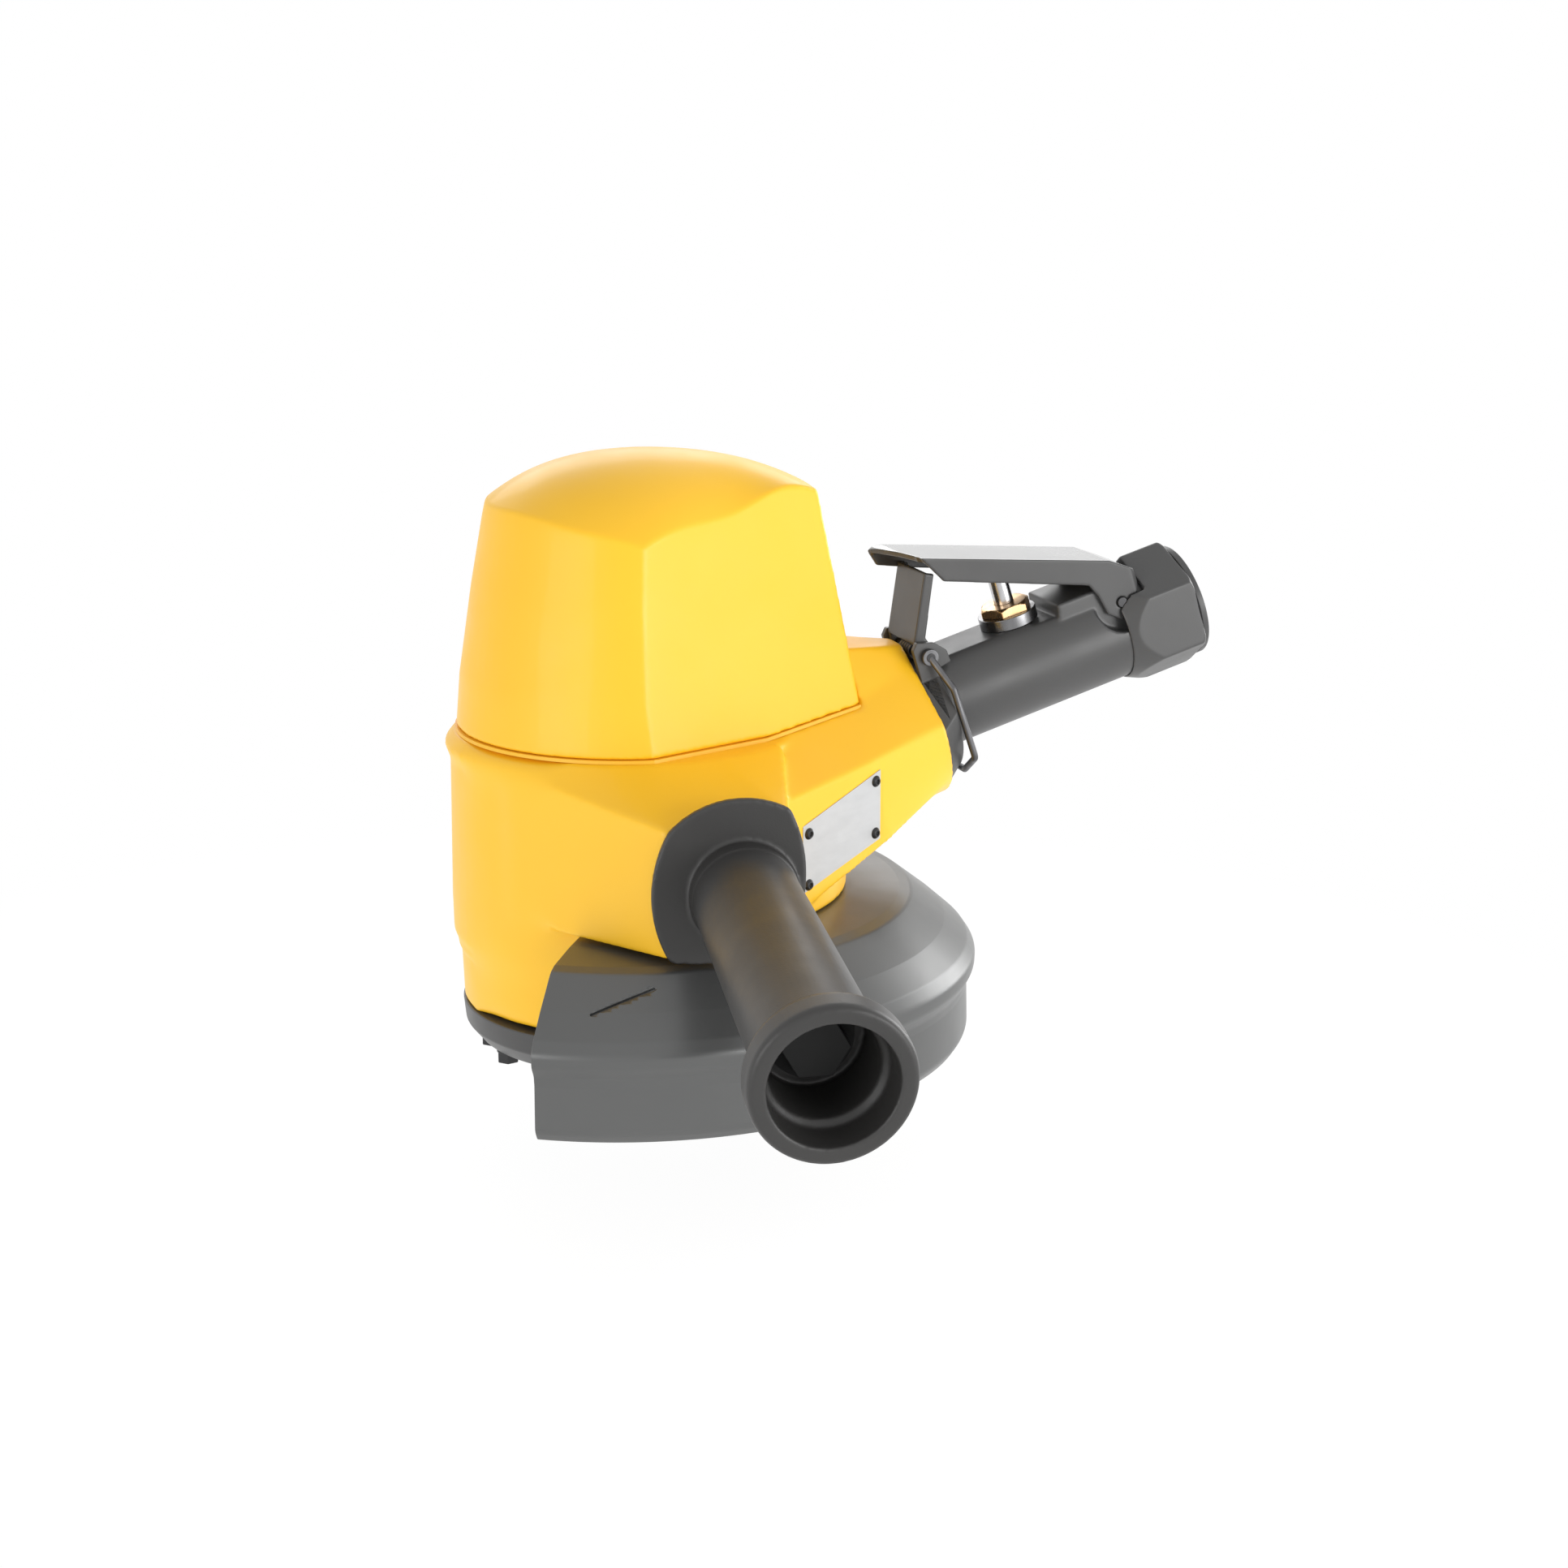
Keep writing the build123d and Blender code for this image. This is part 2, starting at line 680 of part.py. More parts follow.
def arm():
    """Arm from the barrel to the round boss of the throttle handle."""
    sections = []
    for s, half in ((ARM_ROOT_S, ARM_ROOT), (ARM_MID_S, ARM_MID)):
        outline = half + [(-y, e) for y, e in reversed(half)]
        sections.append(arm_plane(s) * make_face(Polyline(*outline, close=True)))
    crown, shelf, flank, foot = ARM_END
    left = [(-y, e) for y, e in ARM_END]
    low_turn = radians(-18)
    bulge = (BOSS_R * cos(low_turn), BOSS_R * sin(low_turn) + BOSS_DROP)
    edges = [
        Line(crown, shelf),
        Line(shelf, flank),
        ThreePointArc(flank, bulge, foot),
        ThreePointArc(foot, (0, BOSS_DROP - BOSS_R), left[3]),
        ThreePointArc(left[3], (-bulge[0], bulge[1]), left[2]),
        Line(left[2], left[1]),
        Line(left[1], left[0]),
        ThreePointArc(left[0], (0, BOSS_DROP + BOSS_R), crown),
    ]
    sections.append(arm_plane(0) * make_face(edges))
    return loft(sections, ruled=True)


def wall_station(a, b, turn):
    """Radius and height where the wall from a to b, both (X, Y, height), is cut at a turn about Z."""
    across = Vector(-sin(radians(turn)), cos(radians(turn)), 0)
    start = Vector(a[0], a[1], 0)
    run = Vector(b[0], b[1], 0) - start
    share = -across.dot(start) / across.dot(run)
    return (start + run * share).length, a[2] + (b[2] - a[2]) * share


def shoulder(corners, floor):
    """Block that leaves the barrel between plan corners (X, Y, height); its top rises to the cover's foot."""
    sections = []
    for a, b in zip(corners, corners[1:]):
        first = atan2(a[1], a[0]) * 180 / pi
        swing = (atan2(b[1], b[0]) * 180 / pi - first + 180) % 360 - 180
        steps = max(1, round(abs(swing) / SHOULDER_STEP))
        for i in range(1 if sections else 0, steps + 1):
            turn = first + swing * i / steps
            reach, top = wall_station(a, b, turn)
            outer = [(SHOULDER_IN, floor), (reach, floor), (reach, top)]
            outline = outer + [COVER_FOOT, (SHOULDER_IN, COVER_FOOT[1])]
            sections.append(Rot(0, 0, turn) * make_face(Plane.XZ * Polyline(*outline, close=True)))
    return loft(sections, ruled=True)


def tangent_corner(corner, way):
    """Point of the ridge where a flat wall from the corner runs into it, to the left (1) or right (-1)."""
    reach = hypot(corner[0], corner[1])
    turn = atan2(corner[1], corner[0]) + way * acos(RIDGE[2][0] / reach)
    return (RIDGE[2][0] * cos(turn), RIDGE[2][0] * sin(turn), RIDGE[3][1])


def support_boss():
    corners = []
    for t, d, z in (BOSS_LEFT, BOSS_RIGHT, BOSS_BACK):
        point = SUPPORT.from_local_coords(Vector(t, 0, d))
        corners.append((point.X, point.Y, z))
    return shoulder([tangent_corner(corners[0], -1)] + corners, BOSS_FLOOR_Z)


def ridge():
    """Ridge from the arm's far root round the back to the support boss."""
    point = SUPPORT.from_local_coords(Vector(BOSS_LEFT[0], 0, BOSS_LEFT[1]))
    end = tangent_corner((point.X, point.Y), -1)
    swing = (atan2(end[1], end[0]) * 180 / pi - RIDGE_FROM) % 360
    return Rot(0, 0, RIDGE_FROM) * turned(RIDGE, angle=swing)


def main_housing():
    body = turned([(0, HOUSING_Z)] + BARREL + [(0, HOUSING_TOP_Z)])
    body = body + (arm() & Pos(100, 0, 150) * Box(400, 400, 2 * (150 - ARM_FLOOR_Z)))
    body = body + support_boss() + ridge()
    seat = turned([(60, ARM_FLOOR_Z), (80, ARM_FLOOR_Z), (80, 80), (60, 90)], angle=130)
    body = body + Rot(0, 0, -95) * seat
    body = body - (above(0) & cover_end(COVER_END_GAP))
    bore = turned(
        [
            (0, HOUSING_Z - 1),
            (GEAR_BORE_R, HOUSING_Z - 1),
            (GEAR_BORE_R, WEB_Z),
            (ROTOR_LOW_R + 4, WEB_Z),
            (ROTOR_LOW_R + 4, WEB_Z + 4),
            (ROTOR_LOW_BEARING_R, WEB_Z + 4),
            (ROTOR_LOW_BEARING_R, WEB_Z + 4 + ROTOR_LOW_BEARING_T),
            (ROTOR_LOW_BEARING_R + 3, WEB_TOP_Z),
            (CHAMBER_R, WEB_TOP_Z),
            (CHAMBER_R, NOZZLE_Z),
            (NOZZLE_R, NOZZLE_Z),
            (NOZZLE_R, HOUSING_TOP_Z + 1),
            (0, HOUSING_TOP_Z + 1),
        ]
    )
    body = body - bore
    bolt = Pos(COVER_BOLT_R, 0, 0) * rod(M5_R, HOUSING_Z - 1, HOUSING_Z + 15)
    for cut in round_copies(bolt, COVER_BOLT_COUNT, COVER_BOLT_PHASE):
        body = body - cut
    for turn in GUARD_SCREWS:
        hole = Pos(GUARD_SCREW_R, 0, 0) * rod(M6_R, ARM_FLOOR_Z - 1, ARM_FLOOR_Z + 16)
        body = body - Rot(0, 0, turn) * hole
    spigot = axis_rod(0, SPIGOT_R, -SPIGOT_L, 10)
    airway = axis_rod(AIR_OUT_E, AIR_OUT_R + 0.5, -66, 0)
    body = body - on_throttle(spigot) - on_throttle(airway)
    body = body - on_handle(rod(CORE_R, CORE_IN, 5) + rod(BOLT_R, BOLT_IN, 0))
    return body - plate_shape(-PLATE_SINK, 6.0) - plate_screw_holes()


def plate_shape(low, high):
    face = make_face(PLATE_PLANE * Polyline(*PLATE, close=True))
    block = extrude(face, high - low)
    return Pos(*(PLATE_PLANE.z_dir * low)) * block


def plate_screw_holes():
    holes = [
        PLATE_PLANE.location * Pos(u, z, -8) * extrude(Circle(1.2), 8) for u, z in PLATE_SCREWS
    ]
    return one(holes)


def name_plate():
    plate = plate_shape(-PLATE_SINK, PLATE_T - PLATE_SINK)
    for u, z in PLATE_SCREWS:
        plate = plate - PLATE_PLANE.location * Pos(u, z, -8) * extrude(Circle(1.2), 16)
    return plate


def plate_screws():
    top = PLATE_T - PLATE_SINK
    screw = Pos(0, 0, top) * extrude(Circle(2.2), 1.0) + Pos(0, 0, -8) * extrude(Circle(1.2), 8 + top)
    return [PLATE_PLANE.location * Pos(u, z, 0) * screw for u, z in PLATE_SCREWS]


def above(lift):
    """Everything higher than the parting line moved up by lift."""
    path = [(x, z + lift) for x, z in PARTING]
    return prism(path + [(PARTING[-1][0], 300), (PARTING[0][0], 300)], 120)


def cover_end(grow):
    tilt = radians(COVER_END_LEAN)
    normal = Vector(cos(tilt), 0, sin(tilt))
    return side(Vector(COVER_END_X, 0, HOUSING_TOP_Z) + normal * grow, normal)


def cover_envelope(grow):
    """Outside of the upper cover with every wall moved out by grow."""
    base_r = COVER_NOSE[0][0] + grow
    nose = turned([(0, 100), (base_r, 100)] + [(r + grow, z) for r, z in COVER_NOSE] + [(0, 240)])
    body = nose + Pos(COVER_CORNER[0] + 60, 0, 170) * Box(120, 140, 140)
    lean = radians(COVER_LEAN)
    turn = radians(COVER_FLANK)
    for way in (1, -1):
        normal = Vector(sin(turn) * cos(lean), -way * cos(turn) * cos(lean), sin(lean))
        point = Vector(COVER_CORNER[0], way * COVER_CORNER[1], HOUSING_TOP_Z) + normal * grow
        body = body & side(point, normal)
    return body & cover_end(grow) & roof(grow)


def roof(grow):
    sections = []
    for x, crown, half, edge in ROOF:
        drop = crown - edge
        radius = (half * half + drop * drop) / (2 * drop)
        wide = min(half + 9, 0.93 * radius)
        low = crown + grow - (radius - sqrt(radius * radius - wide * wide))
        arc = ThreePointArc((-wide, low), (0, crown + grow), (wide, low))
        sides = Polyline(
            (wide, low), (ROOF_SIDE, low), (ROOF_SIDE, 90), (-ROOF_SIDE, 90), (-ROOF_SIDE, low), (-wide, low)
        )
        across = Plane(origin=(x, 0, 0), x_dir=(0, 1, 0), z_dir=(1, 0, 0))
        sections.append(across * make_face([arc] + sides.edges()))
    return loft(sections)


def upper_cover():
    shell = (cover_envelope(0) - cover_envelope(-COVER_WALL)) & above(SEAL_T)
    lip = (cover_envelope(-1) & above(SEAL_T)) - above(SEAL_T + COVER_LIP_T)
    return shell + (lip - rod(NOZZLE_R - NOZZLE_LIP, 100, 200))


def cover_seal():
    sheet = (cover_envelope(0.5) & cover_end(0) & above(0)) - above(SEAL_T)
    return sheet - rod(NOZZLE_R - NOZZLE_LIP, 100, 200)


# Guard


def offset_path(points, distance):
    """Path moved to its right by a distance, with mitred corners."""
    moved = []
    for i, (r, z) in enumerate(points):
        sides = []
        for j in (i - 1, i):
            if 0 <= j and j + 1 < len(points):
                dr = points[j + 1][0] - points[j][0]
                dz = points[j + 1][1] - points[j][1]
                length = hypot(dr, dz)
                sides.append((dz / length, -dr / length))
        nr = sum(n[0] for n in sides) / len(sides)
        nz = sum(n[1] for n in sides) / len(sides)
        size = nr * nr + nz * nz
        moved.append((r + distance * nr / size, z + distance * nz / size))
    return moved


def wheel_guard():
    section = GUARD + list(reversed(offset_path(GUARD, GUARD_T)))
    shell = Rot(0, 0, GUARD_FROM) * turned(section, angle=GUARD_TO - GUARD_FROM)
    slot_half = M6_R + 0.4
    for turn in GUARD_SCREWS:
        slot = turned(
            [
                (GUARD_SCREW_R - slot_half, ARM_FLOOR_Z - 6),
                (GUARD_SCREW_R + slot_half, ARM_FLOOR_Z - 6),
                (GUARD_SCREW_R + slot_half, ARM_FLOOR_Z + 1),
                (GUARD_SCREW_R - slot_half, ARM_FLOOR_Z + 1),
            ],
            angle=2 * GUARD_TURN,
        )
        shell = shell - Rot(0, 0, turn - GUARD_TURN) * slot
        for way in (-1, 1):
            end = Pos(GUARD_SCREW_R, 0, 0) * rod(slot_half, ARM_FLOOR_Z - 6, ARM_FLOOR_Z + 1)
            shell = shell - Rot(0, 0, turn + way * GUARD_TURN) * end
    return shell - guard_groove()


def guard_groove():
    """Straight shallow groove across the slope of the guard."""
    (r_high, z_high), (r_low, z_low) = GUARD[5], GUARD[7]
    ends = []
    for r, turn in GUARD_GROOVE:
        z = z_high + (z_low - z_high) * (r - r_high) / (r_low - r_high)
        ends.append(Vector(r * cos(radians(turn)), r * sin(radians(turn)), z))
    turn = radians(sum(end[1] for end in GUARD_GROOVE) / 2)
    fall = Vector((r_low - r_high) * cos(turn), (r_low - r_high) * sin(turn), z_low - z_high)
    normal = fall.cross(Vector(-sin(turn), cos(turn), 0))
    run = ends[1] - ends[0]
    across = Plane(origin=(ends[0] + ends[1]) * 0.5, x_dir=run, z_dir=normal)
    above_it = 2 * GUARD_T - GUARD_GROOVE_DEPTH
    return across.location * Pos(0, 0, above_it) * Box(run.length, GUARD_GROOVE_W, 4 * GUARD_T)


def guard_screws():
    under = GUARD[0][1] - GUARD_T - 0.1
    head = rod(M6_HEAD_R, under - 4.5, under)
    socket = Pos(0, 0, under - 4.5) * extrude(RegularPolygon(2.8, 6), 2.2)
    screw = Pos(GUARD_SCREW_R, 0, 0) * (head - socket + rod(M6_R, under, ARM_FLOOR_Z + 16))
    return [Rot(0, 0, turn) * screw for turn in GUARD_SCREWS]


# Support handle


def handle_grip():
    ends = FLANGE_CORNERS[1:] + FLANGE_CORNERS[:1]
    plate = make_face([ThreePointArc(a, m, b) for a, m, b in zip(FLANGE_CORNERS, FLANGE_SIDES, ends)])
    plate = fillet(plate.vertices(), FLANGE_CORNER_R)
    flange = SUPPORT.location * Pos(0, 0, SUPPORT_D) * extrude(plate, FLANGE_T)
    ring = SUPPORT_LENGTH - GRIP_RING_L
    outline = [
        (GRIP_ROOT_R + 0.4, -4),
        (GRIP_ROOT_R + 0.4, FLANGE_T + 4),
        (GRIP_ROOT_R, FLANGE_T + 4.4),
        (GRIP_END_R, ring - 2),
        (GRIP_RING_R - 5, ring - 0.5),
        (GRIP_RING_R - 1.5, ring + 1),
        (GRIP_RING_R, ring + 4),
        (GRIP_RING_R, SUPPORT_LENGTH - 2.2),
        (GRIP_RING_R - 0.6, SUPPORT_LENGTH - 0.7),
        (GRIP_RING_R - 1.6, SUPPORT_LENGTH),
        (GRIP_MOUTH_R + 0.4, SUPPORT_LENGTH),
        (GRIP_MOUTH_R, SUPPORT_LENGTH - 0.5),
        (GRIP_MOUTH_R - 0.4, SUPPORT_LENGTH - GRIP_BORE_L),
        (GRIP_BORE_R, SUPPORT_LENGTH - GRIP_BORE_L - 2),
        (GRIP_BORE_R, CORE_END),
        (CORE_R, CORE_END),
        (CORE_R, -4),
    ]
    sleeve = on_handle(turned(outline))
    front = side(SUPPORT.from_local_coords((0, 0, SUPPORT_D)), SUPPORT_DIR * -1, 600)
    bore = on_handle(rod(CORE_R, -20, CORE_END))
    return (flange + (sleeve & front)) - bore


def handle_core():
    core = tube(CORE_R, BOLT_R + 0.4, CORE_IN, CORE_END)
    return on_handle(core)


def handle_washer():
    return on_handle(tube(CORE_R, BOLT_R + 0.4, CORE_END, CORE_END + 2.5))


def handle_bolt():
    head = Pos(0, 0, CORE_END + 2.5) * extrude(RegularPolygon(10.9, 6), 8)
    return on_handle(head + rod(BOLT_R, BOLT_IN, CORE_END + 2.5))


# Throttle handle


def handle_collar():
    near = Plane(origin=(0, 0, BOSS_DROP), x_dir=(0, 1, 0), z_dir=(1, 0, 0))
    far = Plane(origin=(COLLAR_L, 0, BOSS_DROP / 3), x_dir=(0, 1, 0), z_dir=(1, 0, 0))
    body = loft([near * Circle(COLLAR_R), far * Circle(COLLAR_END_R)], ruled=True)
    for way in (1, -1):
        normal = Vector(0, -0.8 * way, 0.6)
        body = body & side(Vector(0, 0, BOSS_DROP) + normal * COLLAR_FLAT, normal)
    body = body - Pos(0, 0, COLLAR_NOTCH_E + 20) * Box(60, 2 * EAR_IN, 40)
    body = body + (prism(EAR, EAR_OUT) - prism(EAR, EAR_IN))
    body = body - axis_rod(0, SPIGOT_R, -1, COLLAR_L + 1) - cross_rod(LATCH_S, LATCH_E, LATCH_PIN_R, -30, 30)
    return on_throttle(body)


def throttle_handle():
    body = axis_rod(0, TUBE_R, COLLAR_L, TUBE_END) + axis_rod(0, SPIGOT_R, -SPIGOT_L, COLLAR_L)
    body = body - Pos((COLLAR_L + 60) / 2, 0, DECK_E + 10) * Box(60 - COLLAR_L + 0.2, 60, 20)
    lug = prism([(60, 10), (61.5, PIN_E + LUG_R), (PIN_S, PIN_E + LUG_R), (PIN_S, 10)], LUG_HALF)
    lug = lug + cross_rod(PIN_S, PIN_E, LUG_R, -LUG_HALF, LUG_HALF)
    top = Pos(80, 0, DECK_E - 1 + 10) * Box(60, 60, 20)
    body = (body - top) + lug
    for way in (1, -1):
        pocket = cross_rod(PIN_S, PIN_E, POCKET_R, LUG_HALF, 30)
        body = body - (pocket if way > 0 else mirror(pocket, Plane.XZ))
    body = body - axis_rod(AIR_OUT_E, AIR_OUT_R, -SPIGOT_L - 1, VALVE_S)
    body = body - axis_rod(AIR_IN_E, AIR_IN_R, VALVE_S, TUBE_END - 8)
    body = body - axis_rod(0, STRAINER_R, TUBE_END - 8, TUBE_END + 1)
    body = body - Pos(VALVE_S, 0, 0) * rod(VALVE_BORE_R, VALVE_FLOOR, DECK_E + 5)
    body = body - cross_rod(PIN_S, PIN_E, LEVER_PIN_R, -30, 30)
    return on_throttle(body)


def inlet_bushing():
    hexagon = Rot(0, 90, 0) * extrude(
        RegularPolygon(BUSH_FLATS / 2, 6, major_radius=False), RING_END
    )
    cone = Rot(0, 90, 0) * turned(
        [
            (0, BUSH_START),
            (TUBE_R + 0.6, BUSH_START),
            (BUSH_R, BUSH_CONE),
            (BUSH_R, BUSH_END - 1.5),
            (BUSH_R - 1.8, BUSH_END),
            (0, BUSH_END),
        ]
    )
    body = hexagon & cone
    body = body - axis_rod(0, TUBE_R, 0, TUBE_END) - axis_rod(0, INLET_R, 0, RING_END)
    pocket = Pos(BUSH_START, 0, 20 + 6) * Box(2 * (BUSH_CONE + 0.8 - BUSH_START), 2 * (LEVER_HALF + 0.8), 40)
    return on_throttle(body - pocket)


def inlet_ring():
    ring = axis_rod(0, RING_R, BUSH_END, RING_END) - axis_rod(0, INLET_R, BUSH_END - 1, RING_END + 1)
    return on_throttle(ring)


def inlet_strainer():
    cup = axis_rod(0, STRAINER_R, TUBE_END - 8, TUBE_END)
    cup = cup - axis_rod(0, STRAINER_R - 1.5, TUBE_END - 6.5, TUBE_END + 1)
    for row in (-6, 0, 6):
        for column in (-6, 0, 6):
            cup = cup - Pos(0, row, 0) * axis_rod(column, 1.4, TUBE_END - 9, TUBE_END)
    return on_throttle(cup)


def valve_washer():
    return on_throttle(Pos(VALVE_S, 0, 0) * tube(WASHER_R, VALVE_BORE_R, DECK_E, WASHER_E))


def valve_cap():
    hexagon = RegularPolygon(NUT_FLATS / 2, 6, major_radius=False)
    nut = Pos(0, 0, WASHER_E) * extrude(hexagon, NUT_E - WASHER_E)
    cone = turned(
        [(0, WASHER_E), (11, WASHER_E), (11, NUT_E - 1.6), (8.6, NUT_E), (0, NUT_E)]
    )
    shank = rod(VALVE_BORE_R, AIR_OUT_E + AIR_OUT_R, WASHER_E)
    body = (nut & cone) + shank - rod(STEM_R + SLIDE, 0, NUT_E + 1)
    return on_throttle(Pos(VALVE_S, 0, 0) * body)


def valve_seat():
    ring = tube(VALVE_BORE_R, SEAT_HOLE_R, SEAT_LOW, SEAT_HIGH)
    return on_throttle(Pos(VALVE_S, 0, 0) * ring)


def valve_pin():
    stem = rod(STEM_R, SEAT_LOW - GAP, STEM_TOP) & Pos(0, 0, STEM_TOP - STEM_DOME_R) * (
        Sphere(STEM_DOME_R) + Pos(0, 0, -60) * extrude(Circle(STEM_DOME_R), 60)
    )
    poppet = rod(POPPET_R, SEAT_LOW - GAP - 2, SEAT_LOW - GAP)
    return on_throttle(Pos(VALVE_S, 0, 0) * (stem + poppet))


def valve_spring():
    top = SEAT_LOW - GAP - 2
    low = VALVE_FLOOR + 0.1
    return on_throttle(Pos(VALVE_S, 0, 0) * coil(5.2, 0.6, low, top, 4))


def coil(radius, wire, low, high, turns):
    """Round wire coil between two heights, one unbroken tube."""
    path = Helix((high - low - 2 * wire) / turns, high - low - 2 * wire, radius)
    places = [path @ (i / (24 * turns)) for i in range(24 * turns + 1)]
    apart = [(a - b).length for i, a in enumerate(places) for b in places[i + 12 :]]
    print("coil: least gap to itself", round(min(apart) - 2 * wire, 2))
    start = Plane(origin=path @ 0, z_dir=path % 0)
    return Pos(0, 0, low + wire) * sweep(start * Circle(wire), path=path)


def lever():
    body = prism(LEVER_OUTLINE, LEVER_HALF) - prism(LEVER_INSIDE, LEVER_HALF - LEVER_T)
    rear = LEVER_OUTLINE[6][0] + 0.1
    plan = fillet(Rectangle(2 * rear, 2 * LEVER_HALF).vertices(), LEVER_CORNER)
    body = body & extrude(plan, 90)
    body = body - extrude(make_face(Polyline(*LEVER_FRONT, close=True)), 90)
    body = body - Pos(0, -LEVER_HALF, 0) * prism(LEVER_NEAR, LEVER_T + 1)
    body = body - cross_rod(PIN_S, PIN_E, LEVER_PIN_R + SLIDE, -30, 30)
    return on_throttle(body)


def lever_pin():
    reach = LEVER_HALF + 0.8
    return on_throttle(cross_rod(PIN_S, PIN_E, LEVER_PIN_R, -reach, reach))


def safety_latch():
    eye = cross_rod(LATCH_S, LATCH_E, LATCH_EYE_R, -LATCH_HALF, LATCH_HALF)
    outline = prism(LATCH_OUTLINE, LATCH_HALF) + eye
    body = outline - prism(LATCH_INSIDE, LATCH_HALF - LATCH_T)
    return on_throttle(body - cross_rod(LATCH_S, LATCH_E, LATCH_PIN_R + SLIDE, -30, 30))


def latch_pin():
    return on_throttle(cross_rod(LATCH_S, LATCH_E, LATCH_PIN_R, -LATCH_REACH, LATCH_REACH))


def latch_spring():
    turns = coil(LATCH_COIL_R, COIL_WIRE, -LATCH_COIL_HALF, LATCH_COIL_HALF, 5)
    return on_throttle(Pos(LATCH_S, 0, LATCH_E) * Rot(-90, 0, 0) * turns)


def wire(a, b):
    """Round wire from one point to another with a ball at its far end."""
    start = Vector(*a)
    end = Vector(*b)
    along = Plane(origin=start, z_dir=end - start)
    straight = along.location * extrude(Circle(BAIL_WIRE), (end - start).length)
    return straight + Pos(*b) * Sphere(BAIL_WIRE)


def wire_bail():
    eye = cross_rod(LATCH_S, LATCH_E, BAIL_EYE_R, BAIL_EYE[0], BAIL_EYE[1])
    leg = one([eye] + [wire(a, b) for a, b in zip(BAIL, BAIL[1:])])
    last = BAIL[-1]
    body = leg + mirror(leg, Plane.XZ) + wire(last, (last[0], -last[1], last[2]))
    bore = LATCH_PIN_R + SLIDE
    return on_throttle(body - cross_rod(LATCH_S, LATCH_E, bore, -30, 30))


NODES = {
    "spindle": spindle,
    "wheel_flange": wheel_flange,
    "planet_pins": planet_pins,
    "spindle_lower_bearing": lambda: bearing(SPINDLE_R, BEARING_R, LOW_BEARING_Z, BEARING_T),
    "spindle_upper_bearing": lambda: bearing(SPINDLE_R, BEARING_R, HIGH_BEARING_Z, BEARING_T),
    "planet_gear_1": lambda: planet_gear(0),
    "planet_gear_2": lambda: planet_gear(1),
    "planet_gear_3": lambda: planet_gear(2),
    "ring_gear": ring_gear,
    "rotor_shaft": rotor_shaft,
    "rotor_lower_bearing": lambda: bearing(ROTOR_LOW_R, ROTOR_LOW_BEARING_R, WEB_Z + 4, ROTOR_LOW_BEARING_T),
    "rotor_upper_bearing": lambda: bearing(
        ROTOR_HIGH_R, ROTOR_HIGH_BEARING_R, ROTOR_HIGH_Z, ROTOR_HIGH_BEARING_T
    ),
    "turbine_wheel": turbine_wheel,
    "nozzle_plate": nozzle_plate,
    "governor": governor,
    "bearing_plate": bearing_plate,
    "lower_cover": lower_cover,
    "cover_bolts": cover_bolts,
    "spindle_seal": spindle_seal,
    "main_housing": main_housing,
    "name_plate": name_plate,
    "plate_screws": plate_screws,
    "upper_cover": upper_cover,
    "cover_seal": cover_seal,
    "wheel_guard": wheel_guard,
    "guard_screws": guard_screws,
    "support_grip": handle_grip,
    "support_core": handle_core,
    "support_washer": handle_washer,
    "support_bolt": handle_bolt,
    "handle_collar": handle_collar,
    "throttle_handle": throttle_handle,
    "inlet_bushing": inlet_bushing,
    "inlet_ring": inlet_ring,
    "inlet_strainer": inlet_strainer,
    "valve_washer": valve_washer,
    "valve_cap": valve_cap,
    "valve_seat": valve_seat,
    "valve_pin": valve_pin,
    "valve_spring": valve_spring,
    "lever": lever,
    "lever_pin": lever_pin,
    "safety_latch": safety_latch,
    "latch_pin": latch_pin,
    "latch_spring": latch_spring,
    "wire_bail": wire_bail,
}

os.makedirs("parts", exist_ok=True)
for name, make in NODES.items():
    made = make()
    solids = []
    for piece in made if isinstance(made, list) else [made]:
        solids.extend(piece.solids())
    shape = solids[0] if len(solids) == 1 else Compound(children=solids)
    export_step(shape, f"parts/{name}.step")
    print(name, len(solids), round(sum(s.volume for s in solids)))
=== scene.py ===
import json
from math import cos, pi, radians, sin, tan

import bmesh
import bpy
from mathutils import Matrix, Vector


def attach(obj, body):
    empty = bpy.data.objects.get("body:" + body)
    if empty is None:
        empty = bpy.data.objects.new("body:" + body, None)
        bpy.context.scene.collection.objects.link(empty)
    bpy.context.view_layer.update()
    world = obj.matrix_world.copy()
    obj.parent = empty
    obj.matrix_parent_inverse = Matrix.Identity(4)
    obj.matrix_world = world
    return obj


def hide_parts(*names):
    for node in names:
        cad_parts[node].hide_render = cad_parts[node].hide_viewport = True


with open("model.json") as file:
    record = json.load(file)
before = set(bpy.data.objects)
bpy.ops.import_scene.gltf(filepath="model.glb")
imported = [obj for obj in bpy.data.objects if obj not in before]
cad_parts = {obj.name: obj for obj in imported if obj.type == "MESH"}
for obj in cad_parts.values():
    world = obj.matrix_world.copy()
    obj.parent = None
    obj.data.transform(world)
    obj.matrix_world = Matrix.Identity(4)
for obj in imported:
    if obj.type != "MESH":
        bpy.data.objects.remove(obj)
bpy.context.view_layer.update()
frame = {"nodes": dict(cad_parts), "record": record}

# Looks of a vertical grinder. Metres, in the CAD frame: spindle on Z, throttle handle towards +X.

MM = 0.001
RECORD = frame["record"]
BODY_OF = {node: body for body, nodes in RECORD["behaviour"]["bodies"].items() for node in nodes}

